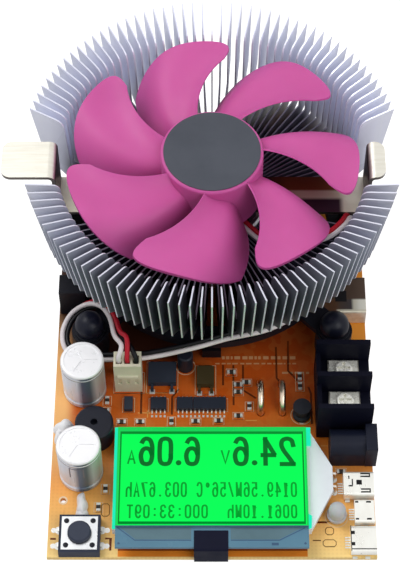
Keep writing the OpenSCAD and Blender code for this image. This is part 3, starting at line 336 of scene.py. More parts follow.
class Surface:
    """A node-based material on the principled shader."""

    def __init__(self, name, roughness=0.5, metallic=0.0, **sockets):
        self.material = bpy.data.materials.new(name)
        self.material.use_nodes = True
        self.tree = self.material.node_tree
        self.shader = self.tree.nodes["Principled BSDF"]
        self.feed(roughness=roughness, metallic=metallic, **sockets)
        self.place = self.node("TexCoord").outputs["Object"]
        self.bumps = None

    def feed(self, **inputs):
        """Sets or links inputs of the principled shader, such as base_color for Base Color."""
        named = {key.replace("_", " ").title().replace("Ior", "IOR"): inputs[key] for key in inputs}
        feed(self.tree, self.shader, named)

    def node(self, kind, inputs=(), **settings):
        return new_node(self.tree, kind, inputs, **settings)

    def mapped(self, scale, move=(0, 0, 0)):
        """The place on the part, scaled along each axis and then moved."""
        mapping = self.node("Mapping", {"Scale": scale, "Location": move, "Vector": self.place})
        return mapping.outputs["Vector"]

    def noise(self, scale, stretch=(1, 1, 1), detail=4.0):
        inputs = {"Scale": scale, "Detail": detail, "Roughness": 0.55, "Vector": self.mapped(stretch)}
        return self.node("TexNoise", inputs).outputs["Fac"]

    def wave(self, scale, distortion, place=None, **settings):
        inputs = {"Scale": scale, "Distortion": distortion, "Vector": place or self.place}
        return self.node("TexWave", inputs, **settings).outputs["Fac"]

    def ramp(self, factor, stops):
        node = self.node("ValToRGB", {"Fac": factor})
        elements = node.color_ramp.elements
        while len(elements) < len(stops):
            elements.new(0.5)
        for element, (position, colour) in zip(elements, stops):
            element.position = position
            element.color = colour
        return node.outputs["Color"]

    def grey_ramp(self, factor, *stops):
        return self.ramp(factor, [(p, (v, v, v, 1)) for p, v in stops])

    def tones(self, factor, low, high):
        """Two tones, with the change between them in the middle of a noise's range."""
        return self.ramp(factor, [(0.3, low), (0.7, high)])

    def mix(self, factor, a, b, blend="MIX"):
        inputs = {0: factor, 6: a, 7: b}
        return self.node("Mix", inputs, data_type="RGBA", blend_type=blend).outputs[2]

    def maths(self, operation, *values):
        return self.node("Math", enumerate(values), operation=operation).outputs[0]

    def times(self, a, b):
        return self.maths("MULTIPLY", a, b)

    def vectors(self, operation, *values):
        return self.node("VectorMath", enumerate(values), operation=operation).outputs

    def split(self, vector):
        """The three parts of a vector."""
        return self.node("SeparateXYZ", {"Vector": vector}).outputs

    def normal(self):
        return self.node("NewGeometry").outputs["Normal"]

    def facing(self, way):
        """How far the surface faces along a way, from -1 to 1."""
        return self.vectors("DOT_PRODUCT", self.normal(), way)["Value"]

    def between(self, value, span, course="SMOOTHSTEP"):
        """0 where the value is at the span's start, 1 where it is at its end."""
        inputs = {"Value": value, "From Min": span[0], "From Max": span[1]}
        return self.node("MapRange", inputs, interpolation_type=course).outputs[0]

    def zone(self, axis, span, course="SMOOTHSTEP"):
        """0 at the span's start and 1 at its end, in millimetres on the board along one axis."""
        origin = BOARD["XYZ".index(axis)]
        return self.between(self.split(self.place)[axis], [origin + x * MM for x in span], course)

    def from_sink(self, operation):
        """The way out from the heat sink's axis, through an operation such as NORMALIZE or LENGTH."""
        return self.vectors(operation, self.mapped((1, 1, 0), (-SINK.x, -SINK.y, 0)))

    def reach(self, span):
        """0 at the span's start and 1 at its end, in millimetres from the heat sink's axis."""
        return self.between(self.from_sink("LENGTH")["Value"], [r * MM for r in span])

    def colour(self, out):
        self.feed(base_color=out)

    def roughness(self, factor, low, high):
        self.feed(roughness=self.grey_ramp(factor, (0.3, low), (0.7, high)))

    def bump(self, height, strength, distance):
        """A bump over those made before it."""
        inputs = {"Height": height, "Strength": strength, "Distance": distance}
        if self.bumps is not None:
            inputs["Normal"] = self.bumps
        self.bumps = self.node("Bump", inputs).outputs["Normal"]
        self.feed(normal=self.bumps)


def moulded(name, colour, rough, grain=900, tone=0.12, bump=0.15, **sockets):
    """Moulded plastic: fine spark texture, slow changes of tone and of gloss."""
    sockets.setdefault("specular_ior_level", 0.2)
    s = Surface(name, **sockets)
    s.colour(s.tones(s.noise(90, detail=3), shade(colour, 1 - tone), shade(colour, 1 + tone)))
    s.roughness(s.noise(260), rough - 0.06, rough + 0.08)
    s.bump(s.noise(grain, detail=2), bump, 2e-5)
    return s.material


def metal(name, colour, rough, stretch=(1, 1, 1), grain=400, bump=0.1, metallic=1.0):
    """Sheet or turned metal, with its grain drawn out along one way."""
    s = Surface(name, metallic=metallic)
    streak = s.noise(grain, stretch, detail=5)
    s.colour(s.tones(streak, shade(colour, 0.94), shade(colour, 1.06)))
    s.roughness(s.noise(grain * 0.7, stretch), rough - 0.05, rough + 0.09)
    s.bump(streak, bump, 1e-5)
    return s.material


def lit(name, colour, dark=0.85):
    """A lit plastic or display: its own light, a little uneven, under a smooth face."""
    s = Surface(name, roughness=0.2, specular_ior_level=0.06)
    tone = s.tones(s.noise(40, detail=2), shade(colour, dark), colour)
    s.colour(s.mix(0.92, tone, (0, 0, 0, 1)))
    s.feed(emission_color=tone, emission_strength=1.0)
    s.bump(s.noise(900, detail=2), 0.04, 6e-6)
    return s.material


# Tones of the board from its front edge back to a set depth, with painted light: paler in front and
# darker behind. Then the zones: painted shadow under the heat sink behind and left of its axis, painted
# light behind on the right, and a paler patch near the left edge. A zone's tone starts at the first
# value and is full at the second.
BOARD_LIGHT_TONES_Y = 75
BOARD_LIGHT_TONES = [
    (0.0, srgb(255, 220, 142)), (0.2, srgb(248, 184, 98)), (0.5, srgb(222, 116, 24)),
    (0.7, srgb(214, 92, 6)), (0.85, srgb(196, 80, 8)), (1.0, srgb(150, 56, 8)),
]
REAR_PAINT_Y = (64.5, 68.5)
SINK_SHADOW_X = (6, -14)
REAR_LIGHT_X = (30, 38)
RIM_X = (-41, -45)
RIM_Y = (22, 34)
SINK_SHADOW_R = (64, 52)


def board_laminate():
    """Glossy orange solder mask over copper and glass weave, with painted light: paler in front, darker
    behind, painted light behind on the right and painted shadow under the heat sink.
    """
    s = Surface("board_laminate", specular_ior_level=0.3, coat_weight=0.08, coat_roughness=0.15)
    # painted light and shade: the mask paler in front and darker behind
    base = s.ramp(s.zone("Y", (0, BOARD_LIGHT_TONES_Y), "LINEAR"), BOARD_LIGHT_TONES)
    pours = s.grey_ramp(s.noise(210, (1, 1, 0.02), detail=1.0), (0.47, 0.0), (0.5, 1.0))
    base = s.mix(s.times(pours, 0.05), base, srgb(255, 200, 110))
    weave = s.times(s.wave(260, 0.6, bands_direction="X"), s.wave(260, 0.6, bands_direction="Y"))
    base = s.mix(s.times(weave, 0.08), base, srgb(150, 62, 8))
    base = s.mix(s.times(s.zone("X", RIM_X), s.zone("Y", RIM_Y)), base, srgb(252, 190, 116))
    behind = s.zone("Y", REAR_PAINT_Y)
    # painted light on the board behind, on the right
    base = s.mix(s.times(behind, s.zone("X", REAR_LIGHT_X)), base, srgb(246, 156, 50))
    under = s.times(s.zone("X", SINK_SHADOW_X), s.reach(SINK_SHADOW_R))
    # painted shadow under the heat sink, behind and left of its axis
    s.colour(s.mix(s.times(behind, under), base, srgb(60, 24, 10)))
    s.roughness(s.noise(120), 0.4, 0.54)
    s.bump(pours, 0.25, 2.5e-5)
    s.bump(weave, 0.12, 1e-5)
    return s.material


# Fins, with painted light: tones of their faces from the front of the heat sink to its back,
# painted darker in front; the painted highlight on their edges; the radii over which they are
# painted lighter outwards; the heights and radii over which the bowl is painted with shade; and the
# painted glow that the fins in the bowl give off
FIN_LIGHT_TONES = [
    (0.04, srgb(90, 90, 104)), (0.22, srgb(200, 204, 222)),
    (0.42, srgb(244, 246, 255)), (0.85, srgb(240, 242, 255)),
]
FIN_EDGE_HIGHLIGHT = srgb(232, 234, 248)
FIN_LIGHTER_OUT_R = (38, 55)
BOWL_SHADE_Z = (41, 22)
BOWL_SHADE_R = (50, 43)
BOWL_PAINTED_GLOW = [(0.4, 0.0), (0.54, 0.17), (0.7, 0.08), (1.0, 0.07)]


def fin_sheet():
    """Rolled aluminium strip with painted light: painted highlights on the edges round duller faces, faces
    painted darker towards the front and deep in the bowl, and a painted glow.
    """
    s = Surface("fin_sheet")
    outward = s.from_sink("NORMALIZE")["Vector"]
    # the edges, where the painted highlight goes
    edge = s.maths("MAXIMUM", s.maths("ABSOLUTE", s.facing(outward)), s.split(s.normal())["Z"])
    edge = s.grey_ramp(edge, (0.25, 0.0), (0.5, 1.0))
    back = s.maths("MULTIPLY_ADD", s.split(outward)["Y"], 0.5, 0.5)
    own = s.node("NewGeometry").outputs["Random Per Island"]
    # faces painted darker towards the front
    face = s.mix(1.0, s.ramp(back, FIN_LIGHT_TONES), s.grey_ramp(own, (0.0, 0.88), (1.0, 1.0)), "MULTIPLY")
    streak = s.noise(500, (1, 1, 0.06))
    face = s.mix(s.times(streak, 0.14), face, srgb(110, 110, 124))
    # faces painted lighter outwards
    outer = s.ramp(s.reach(FIN_LIGHTER_OUT_R), [(0.0, srgb(190, 190, 204)), (1.0, WHITE)])
    face = s.mix(1.0, face, outer, "MULTIPLY")
    # painted shade deep in the bowl
    depth = s.times(s.zone("Z", BOWL_SHADE_Z), s.reach(BOWL_SHADE_R))
    # a painted glow: the fins give off light though they are no lamp
    glow = s.times(s.grey_ramp(back, *BOWL_PAINTED_GLOW), s.grey_ramp(depth, (0.0, 1.0), (0.6, 0.0)))
    s.feed(emission_strength=glow, emission_color=srgb(206, 216, 250))
    dark = s.ramp(depth, [(0.0, WHITE), (1.0, srgb(104, 98, 112))])
    s.colour(s.mix(1.0, s.mix(edge, face, FIN_EDGE_HIGHLIGHT), dark, "MULTIPLY"))
    s.feed(metallic=s.grey_ramp(edge, (0.0, 0.08), (1.0, 0.3)))
    s.roughness(s.noise(350, (1, 1, 0.1)), 0.3, 0.46)
    s.bump(streak, 0.15, 1.2e-5)
    return s.material


# Large cans, with painted light: tones of painted reflection round the wall, from behind over the
# left, the front and the right, and the top painted white as lit
CAN_REFLECTION_BANDS = [
    (0.0, srgb(200, 204, 216)), (0.14, srgb(240, 244, 255)), (0.26, srgb(226, 230, 248)),
    (0.3, srgb(246, 248, 255)), (0.46, srgb(236, 240, 255)), (0.5, srgb(96, 104, 126)),
    (0.56, srgb(78, 98, 108)), (0.61, srgb(190, 188, 188)), (0.68, srgb(176, 160, 152)),
    (0.76, srgb(206, 204, 206)), (0.9, srgb(150, 154, 166)),
]
CAN_LIT_TOP = srgb(250, 250, 252)
CAN_RIM = 0.9


def can_metal():
    """Drawn can: a top painted white as lit, and upright bands of painted reflection round its wall."""
    s = Surface("bare_can", metallic=0.12)
    normal = s.split(s.normal())
    turn = s.maths("ARCTAN2", normal["X"], s.times(normal["Y"], -1.0))
    # painted reflections, by the way the wall faces
    wall = s.ramp(s.maths("MULTIPLY_ADD", turn, 0.5 / math.pi, 0.5), CAN_REFLECTION_BANDS)
    streak = s.noise(700, (1, 1, 0.04))
    wall = s.mix(s.times(streak, 0.12), wall, srgb(120, 124, 136))
    rim = board_box("capacitor_cans")[1].z - CAN_RIM
    # top painted white as lit
    s.colour(s.mix(s.zone("Z", (rim, rim + 0.1), "LINEAR"), wall, CAN_LIT_TOP))
    s.roughness(s.noise(350, (1, 1, 0.1)), 0.24, 0.4)
    s.bump(streak, 0.1, 1e-5)
    return s.material


# Spring strap: tones of painted reflection across its low part inside the bowl, and the spans left
# and right of the heat sink's axis where that part is painted with shade and where with light
STRAP_WIDTH = 13.4
STRAP_LOW_Z = 30
STRAP_REFLECTIONS = [
    (0.0, srgb(70, 46, 62)), (0.34, srgb(56, 34, 50)), (0.42, srgb(206, 198, 174)),
    (0.58, srgb(200, 190, 164)), (0.64, srgb(120, 70, 36)), (1.0, srgb(96, 56, 30)),
]
STRAP_SHADE_X = (24, 15)
STRAP_LIGHT_X = (39, 41)


def strap_steel():
    """Nickel plate over spring steel with painted light: upper faces painted paler than the sides as lit,
    cut edges and inner bends painted dark as shade, and painted reflections, shade and light on its low part
    in the bowl.
    """
    s = Surface("plated_spring_steel", metallic=0.75)
    normal = s.split(s.normal())
    level = s.grey_ramp(s.maths("ABSOLUTE", normal["Z"]), (0.3, 0.0), (0.9, 1.0))
    cut = s.grey_ramp(s.maths("ABSOLUTE", normal["Y"]), (0.3, 0.0), (0.8, 1.0))
    streak = s.noise(400, (0.2, 3, 1))
    pale = s.tones(streak, srgb(228, 224, 210), srgb(240, 237, 227))
    inner = s.times(s.facing(s.from_sink("NORMALIZE")["Vector"]), -1.0)
    inner = s.grey_ramp(inner, (0.5, 0.0), (0.9, 1.0))
    # upper faces paler as lit; inner bends painted dark as shade
    face = s.mix(level, s.mix(inner, srgb(205, 204, 208), srgb(60, 42, 46)), pale)
    place = s.split(s.place)
    edges = [SINK.y + side * STRAP_WIDTH / 2 * MM for side in (-1, 1)]
    # painted reflections across the low part
    across = s.ramp(s.between(place["Y"], edges, "LINEAR"), STRAP_REFLECTIONS)
    aside = s.maths("ABSOLUTE", s.maths("SUBTRACT", place["X"], SINK.x))
    # painted shade near the axis, under the fan
    across = s.mix(s.between(aside, [x * MM for x in STRAP_SHADE_X]), across, srgb(36, 26, 30))
    # painted light further out
    across = s.mix(s.between(aside, [x * MM for x in STRAP_LIGHT_X]), across, srgb(226, 220, 200))
    sunk = s.maths("LESS_THAN", place["Z"], BOARD.z + STRAP_LOW_Z * MM)
    face = s.mix(s.times(sunk, level), face, across)
    # cut edges painted dark as shade
    s.colour(s.mix(cut, face, srgb(110, 102, 96)))
    s.roughness(s.noise(300, (0.2, 3, 1)), 0.3, 0.44)
    s.bump(streak, 0.1, 1e-5)
    return s.material


def pink_blade():
    """Pink plastic of the fan, a little translucent."""
    s = Surface("pink_blade", specular_ior_level=0.35, subsurface_weight=0.25, subsurface_scale=0.003)
    s.feed(subsurface_radius=(1.0, 0.2, 0.6))
    s.colour(s.tones(s.noise(35, detail=3), srgb(202, 84, 156), srgb(212, 94, 166)))
    s.roughness(s.noise(160), 0.42, 0.55)
    s.bump(s.noise(1500, detail=2), 0.12, 1e-5)
    s.bump(s.noise(60, detail=2), 0.1, 8e-5)
    return s.material


def hub_label_film():
    s = Surface("hub_label_film", specular_ior_level=0.35)
    s.colour(s.tones(s.noise(70, detail=5), srgb(64, 68, 78), srgb(74, 78, 88)))
    s.roughness(s.noise(500), 0.5, 0.62)
    s.bump(s.noise(1100, detail=3), 0.2, 1.5e-5)
    return s.material


def enamelled_wire():
    """Copper windings: turns as fine bands."""
    s = Surface("enamelled_wire", metallic=0.7, coat_weight=0.4)
    turns = s.wave(600, 0.8, bands_direction="Z")
    s.colour(s.ramp(turns, [(0.2, srgb(120, 52, 20)), (0.8, srgb(205, 110, 55))]))
    s.roughness(s.noise(300), 0.25, 0.4)
    s.bump(turns, 0.6, 1e-4)
    return s.material


def turned_aluminium():
    """Metal with rings about the heat sink's axis."""
    s = Surface("cast_aluminium", metallic=1.0)
    place = s.mapped((1, 1, 1), (-SINK.x, -SINK.y, 0))
    rings = s.wave(700, 0.4, place, wave_type="RINGS", rings_direction="Z")
    colour = srgb(205, 205, 210)
    s.colour(s.ramp(rings, [(0.0, shade(colour, 0.93)), (1.0, shade(colour, 1.04))]))
    s.roughness(s.noise(240), 0.27, 0.42)
    s.bump(rings, 0.2, 1.2e-5)
    return s.material


LEDGE_Y = 6.6


def display_glass():
    """The glass: lit from behind over the display, bare over its grey coating on the front ledge."""
    s = Surface("display_glass", specular_ior_level=0.2)
    bare = s.tones(s.noise(60, detail=3), srgb(88, 128, 152), srgb(96, 138, 160))
    behind = s.zone("Y", (LEDGE_Y, LEDGE_Y + 0.1), "LINEAR")
    s.colour(s.mix(behind, bare, (0, 0.02, 0.01, 1)))
    s.feed(emission_strength=behind, emission_color=srgb(2, 206, 80))
    s.roughness(s.noise(300), 0.16, 0.3)
    s.bump(s.noise(200, detail=2), 0.05, 1e-5)
    return s.material


TRANSISTOR_GAP_X = (-7, -6)


def transistor_epoxy():
    """Moulded bodies of the flat transistors: slate on the left, olive on the right."""
    s = Surface("moulded_epoxy", specular_ior_level=0.2)
    s.colour(s.mix(s.zone("X", TRANSISTOR_GAP_X, "LINEAR"), srgb(50, 56, 70), srgb(70, 60, 36)))
    s.roughness(s.noise(260), 0.46, 0.6)
    s.bump(s.noise(1500, detail=2), 0.35, 2e-5)
    return s.material


# Large socket: tones of painted reflection on its top along the shell, and in millimetres from its
# front edge the rear part painted dark as a reflection and the painted highlight line in front
SHELL_TOP_REFLECTIONS = [
    (0.3, srgb(104, 72, 50)), (0.42, srgb(92, 78, 70)), (0.66, srgb(76, 70, 72)),
    (0.72, srgb(224, 220, 200)), (0.86, srgb(246, 244, 230)),
]
SHELL_DARK_REFLECTION_Y = (4.4, 5.2)
SHELL_HIGHLIGHT_Y = (1.3, 0.8)
SHELL_HIGHLIGHT_FROM = (0.3, 0.36)


def large_shell():
    """Tinned shell, its top painted with reflections: dark towards the rear under the fins, and a painted
    highlight line in front.
    """
    s = Surface("large_shell", metallic=0.5)
    lo, hi = board_box("usb_a_shell")
    along = s.zone("X", (lo.x, hi.x), "LINEAR")
    dark = s.zone("Y", [lo.y + y for y in SHELL_DARK_REFLECTION_Y])
    # painted reflections on the top, dark towards the rear
    top = s.mix(dark, s.ramp(along, SHELL_TOP_REFLECTIONS), srgb(88, 70, 58))
    line = s.times(s.zone("Y", [lo.y + y for y in SHELL_HIGHLIGHT_Y]), s.between(along, SHELL_HIGHLIGHT_FROM))
    # painted highlight line along the front
    top = s.mix(line, top, srgb(232, 226, 204))
    grain = s.noise(600, detail=3)
    tin = s.tones(grain, srgb(214, 212, 204), srgb(240, 238, 228))
    s.colour(s.mix(s.maths("GREATER_THAN", s.split(s.normal())["Z"], 0.5), tin, top))
    s.roughness(grain, 0.3, 0.46)
    s.bump(grain, 0.1, 1e-5)
    return s.material


# Plain surfaces: colour on the screen, roughness, and what differs from the usual
MOULDED = {
    "black_nylon": (20, 21, 30, 0.45, {"grain": 700}),
    "pin_plastic": (22, 24, 38, 0.34, {"grain": 500}),
    "green_laminate": (24, 92, 44, 0.35, {}),
    "ferrite": (44, 46, 54, 0.6, {"grain": 1200, "bump": 0.4}),
    "white_insulation": (238, 230, 232, 0.42, {"grain": 400}),
    "red_insulation": (196, 34, 52, 0.38, {"grain": 400}),
    "black_insulation": (16, 16, 22, 0.4, {"grain": 400}),
    "ivory_plastic": (228, 224, 200, 0.45, {"grain": 800}),
    "moulded_epoxy": (40, 45, 58, 0.5, {"grain": 1500, "bump": 0.35}),
    "grey_silicone": (125, 130, 138, 0.7, {}),
    "black_rubber": (40, 38, 36, 0.7, {}),
    "black_gloss_plastic": (24, 26, 38, 0.4, {"grain": 600}),
    "terminal_plastic": (12, 13, 28, 0.5, {"grain": 800, "specular_ior_level": 0.08}),
    "jack_plastic": (18, 22, 38, 0.42, {"grain": 800}),
    "backlight_plastic": (238, 243, 250, 0.4, {"tone": 0.04}),
    "black_film": (10, 13, 36, 0.5, {"grain": 500, "specular_ior_level": 0.12}),
    "chip_ceramic": (60, 54, 50, 0.5, {"grain": 1600}),
    "frosted_lens": (186, 186, 190, 0.55, {"subsurface_weight": 0.2}),
    "sleeve_plastic": (34, 38, 50, 0.35, {}),
    "switch_base": (40, 46, 64, 0.42, {"grain": 700}),
    "switch_button": (54, 60, 76, 0.42, {"grain": 700}),
    "board_shade": (244, 140, 40, 0.5, {"grain": 600}),
    "board_shadow": (150, 66, 14, 0.5, {"grain": 600}),
    "ledge_film": (92, 120, 130, 0.4, {}),
    "ledge_line": (64, 92, 122, 0.4, {}),
    "solder": (232, 232, 228, 0.3, {"grain": 1500, "bump": 0.3, "metallic": 0.35}),
    "silk_white": (232, 206, 172, 0.6, {}),
    "silk_faint": (206, 150, 104, 0.6, {}),
    "silk_dark": (120, 84, 40, 0.6, {}),
    # the cans' print with the painted shade of their turned edge, then the edge's painted highlight
    "can_mark": (128, 122, 132, 0.4, {}),
    "can_line": (244, 244, 250, 0.3, {}),
    "dark_block": (14, 12, 18, 0.5, {}),
    "mask_gap": (104, 44, 10, 0.45, {}),
    "bare_track": (236, 168, 92, 0.35, {}),
    "glue_white": (252, 252, 255, 0.4, {"grain": 300, "tone": 0.02}),
    "glue_grey": (234, 232, 234, 0.4, {"grain": 300, "tone": 0.03}),
    "socket_black": (18, 17, 20, 0.6, {}),
}
METALS = {
    "bronze": (190, 150, 95, 0.45, {"grain": 900, "bump": 0.4}),
    "lamination_steel": (120, 124, 132, 0.45, {"stretch": (0.1, 0.1, 8), "bump": 0.6}),
    "ground_steel": (205, 207, 212, 0.2, {"stretch": (1, 1, 4)}),
    "tinned_brass": (222, 218, 205, 0.3, {}),
    "tinned_wire": (226, 224, 218, 0.26, {"stretch": (1, 1, 0.2)}),
    "plated_sheet": (252, 250, 242, 0.3, {"stretch": (1, 0.3, 1), "metallic": 0.5}),
    "screw_plate": (252, 250, 240, 0.24, {"grain": 700, "metallic": 0.35}),
    "shunt_alloy": (226, 208, 186, 0.24, {"stretch": (1, 0.15, 0.15)}),
    "switch_cover": (204, 206, 208, 0.3, {"stretch": (1, 0.3, 1), "metallic": 0.8}),
}


def make_materials():
    """All materials by the name of their slot, or of the one node that has them to itself."""
    made = {
        "board_laminate": board_laminate(),
        "fin_sheet": fin_sheet(),
        "pink_plastic": pink_blade(),
        "grey_label": hub_label_film(),
        "enamelled_copper": enamelled_wire(),
        "cast_aluminium": turned_aluminium(),
        "bare_can": can_metal(),
        "plated_spring_steel": strap_steel(),
        "display_glass": display_glass(),
        "lit_display": lit("lit_display", srgb(2, 250, 86), 0.97),
        "ink_deep": lit("ink_deep", srgb(8, 112, 40)),
        "ink_pale": lit("ink_pale", srgb(4, 158, 46)),
        "ink_edge": lit("ink_edge", srgb(2, 140, 48)),
        "edge_glow": lit("edge_glow", srgb(30, 240, 190)),
        "usb_a_shell": large_shell(),
        "power_transistors": transistor_epoxy(),
    }
    for kind, table in ((moulded, MOULDED), (metal, METALS)):
        for name, (red, green, blue, rough, others) in table.items():
            made[name] = kind(name, srgb(red, green, blue), rough, **others)
    return made


MATERIALS = make_materials()


def dress_cad_nodes():
    """Gives each CAD node the material of its own name, or else the one of its slot."""
    for row in frame["record"]["subparts"]:
        mesh = NODES[row["node"]].data
        mesh.materials.clear()
        mesh.materials.append(MATERIALS.get(row["node"]) or MATERIALS[row["material_slot"]])


dress_cad_nodes()


# Fan

BLADES = 7
TIP_R = 44.3
HUB_R = 15.5
HUB_TOP = 50.2
LABEL_R = 14.65
BLADE_T = 1.3
BLADE_TOP = 49.6
BLADE_LOW = 38.3
ROOT_LOW = 31.7
CAMBER = 5.5
TIP_SWEEP = 51.5
ROOT_LAG = 35.6
ROOT_SWEEP = 79.8
LEAD_ROUND = 7.6
TRAIL_ROUND = 5.8
FIRST_BLADE = 71.4
ROOT_IN = 0.7
TIP_POWER, LAG_POWER, CAMBER_POWER = 4, 0.77, 1.78
SKIRT_Z = 30.6
ROOF_Z = 49.0
HUB_WALL = 1.3
HUB_ROUND = 0.9
LABEL_SUNK = 0.1


def blade_point(u, t, side):
    """u runs from hub to tip, t from the leading to the trailing edge; side is the face."""
    corner = LEAD_ROUND if t < 0.5 else TRAIL_ROUND
    outer = TIP_R - corner * abs(2 * t - 1) ** TIP_POWER
    r = HUB_R - ROOT_IN + (outer - HUB_R + ROOT_IN) * u
    inward = (TIP_R - r) / (TIP_R - HUB_R)
    lag = ROOT_LAG * max(0.0, inward) ** LAG_POWER
    turn = TIP_SWEEP + (ROOT_SWEEP - TIP_SWEEP) * inward - lag
    drop = BLADE_TOP - BLADE_LOW - (ROOT_LOW - BLADE_LOW) * inward
    slope = math.atan2(drop, r * math.radians(turn))
    half = side * BLADE_T / 2 * (0.3 + 0.7 * math.sin(math.pi * t))
    a = math.radians(lag + turn * t) + half * math.sin(slope) / r
    rise = CAMBER * math.sin(math.pi * t**CAMBER_POWER)
    z = BLADE_TOP - drop * t + rise + half * math.cos(slope)
    return Vector((r * math.cos(a), r * math.sin(a), z))


def blade_mesh(shape, angle, spans=22, chords=26):
    """One blade as two curved faces joined round a rounded edge."""
    turn = Matrix.Rotation(math.radians(angle), 3, "Z")
    row = chords + 1
    faces_at = {}
    for side in (1, -1):
        faces_at[side] = [
            turn @ blade_point(i / spans, j / chords, side) for i in range(spans + 1) for j in range(row)
        ]
    sheet = len(faces_at[1])
    points = faces_at[1] + faces_at[-1]
    faces = []
    for i in range(spans):
        for j in range(chords):
            a, b = i * row + j, i * row + j + 1
            c, d = a + row, b + row
            faces.append([a, b, d, c])
            faces.append([sheet + c, sheet + d, sheet + b, sheet + a])
    rim = list(range(row)) + [i * row + chords for i in range(1, spans + 1)]
    rim += [spans * row + j for j in range(chords - 1, -1, -1)] + [i * row for i in range(spans - 1, 0, -1)]
    for a, b in zip(rim, rim[1:] + rim[:1]):
        faces.append([b, a, sheet + a, sheet + b])
    shape.add(points, faces)


def arc(centre, radius, start, end, steps=8):
    """Points of a round stretch in a profile, angles in degrees."""
    turns = [math.radians(start + (end - start) * k / steps) for k in range(steps + 1)]
    return [(centre[0] + radius * math.cos(a), centre[1] + radius * math.sin(a)) for a in turns]


def fan():
    """Hub and blades in one piece."""
    shape = Shape(SINK)
    for k in range(BLADES):
        blade_mesh(shape, FIRST_BLADE - k * 360 / BLADES)
    inner = HUB_R - HUB_WALL
    seat = HUB_TOP - LABEL_SUNK
    shoulder = arc((HUB_R - HUB_ROUND, HUB_TOP - HUB_ROUND), HUB_ROUND, 0, 90)
    profile = [(inner, SKIRT_Z), (HUB_R, SKIRT_Z)] + shoulder
    profile += [(LABEL_R, HUB_TOP), (LABEL_R, seat), (0, seat)]
    shape.lathe((0, 0, 0), profile, 96)
    shape.lathe((0, 0, 0), [(inner, SKIRT_Z), (inner, ROOF_Z), (0, ROOF_Z)], 96)
    piece = shape.piece("fan_rotor_dressed", "pink_plastic", "fan", "pink_plastic", smooth=40)
    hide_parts("fan_rotor")


fan()


# Fan lead: the route's points repeat those of the part's source

RING_LEAD_R = 42
RING_LEAD_Z = 12.45
RING_LEAD_TURNS = (-20, -33, -49, -66, -84)


def on_ring(angle):
    """A point of the lead where it lies on the mounting ring."""
    a = math.radians(angle)
    return (RING_LEAD_R * math.cos(a), RING_LEAD_R * math.sin(a), RING_LEAD_Z)


LEAD_ROUTE = [
    (8.4, -10, 28.8), (11, -13.1, 28.7), (17, -17.6, 27.7), (26, -18.5, 28), (35, -16, 28.5),
    (40, -11.6, 28.7), (41.6, -8.9, 28.4), (42.3, -8.7, 25.5), (42.4, -8.7, 15.5), (42.5, -10, 13),
    *[on_ring(a) for a in RING_LEAD_TURNS],
    (-6.5, -44.6, 11.4), (-20, -46, 8.4), (-32, -45.6, 6.5), (-38.4, -45.2, 6), (-44, -42.6, 6),
    (-45.4, -37, 6.5), (-43, -31.4, 8), (-38, -29.2, 10.5), (-33.4, -31.4, 13), (-30.4, -36, 13.6),
    (-28.4, -43, 15.5), (-25.8, -48.2, 19),
]
WIRE_R = 0.75
BUNDLE_R = 0.9
TWIST_FROM, TWIST_POINTS, TWIST_STEP = 16, 10, 12
SPREAD_FROM, SPREAD_STEP = 24, 0.32
PLUG_PITCH = 2.54
PLUG_BEND = 1.6
SLOT_DEPTH = 1.45
WIRES = [("white", 150, -1), ("red", 30, 0), ("black", 270, 1)]


def headings(route):
    n = len(route)
    return [(route[min(i + 1, n - 1)] - route[max(i - 1, 0)]).normalized() for i in range(n)]


def wire_line(start, slot):
    """Centre line of one wire, at its own side of the middle line, then down into its slot."""
    route = [Vector(p) for p in LEAD_ROUTE]
    ways = headings(route)
    side = Vector((0, 0, 1)).cross(ways[0]).normalized()
    line = []
    for i, (p, way) in enumerate(zip(route, ways)):
        side = (side - way * side.dot(way)).normalized()
        top = way.cross(side)
        turn = math.radians(start + TWIST_STEP * max(0, min(TWIST_POINTS, i - TWIST_FROM)))
        spread = BUNDLE_R + SPREAD_STEP * max(0, i - SPREAD_FROM)
        line.append(p + (side * math.cos(turn) + top * math.sin(turn)) * spread)
    lo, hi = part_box("fan_plug")
    plug = ((lo + hi) / 2 - SINK) / MM
    plug_top = (hi.z - SINK.z) / MM
    for z in (plug_top + PLUG_BEND, plug_top - SLOT_DEPTH):
        line.append(Vector((plug.x + slot * PLUG_PITCH, plug.y, z)))
    return line


def fan_lead():
    for colour, start, slot in WIRES:
        shape = Shape(SINK)
        shape.tube(smooth_line(wire_line(start, slot)), WIRE_R, 14)
        slot_name = colour + "_insulation"
        piece = shape.piece("lead_" + colour, slot_name, "root", slot_name, smooth=50)
        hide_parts("fan_wire_" + colour)


fan_lead()


# Display: characters as lines on a grid of 4 by 6, then the rows with their ends in x and in y

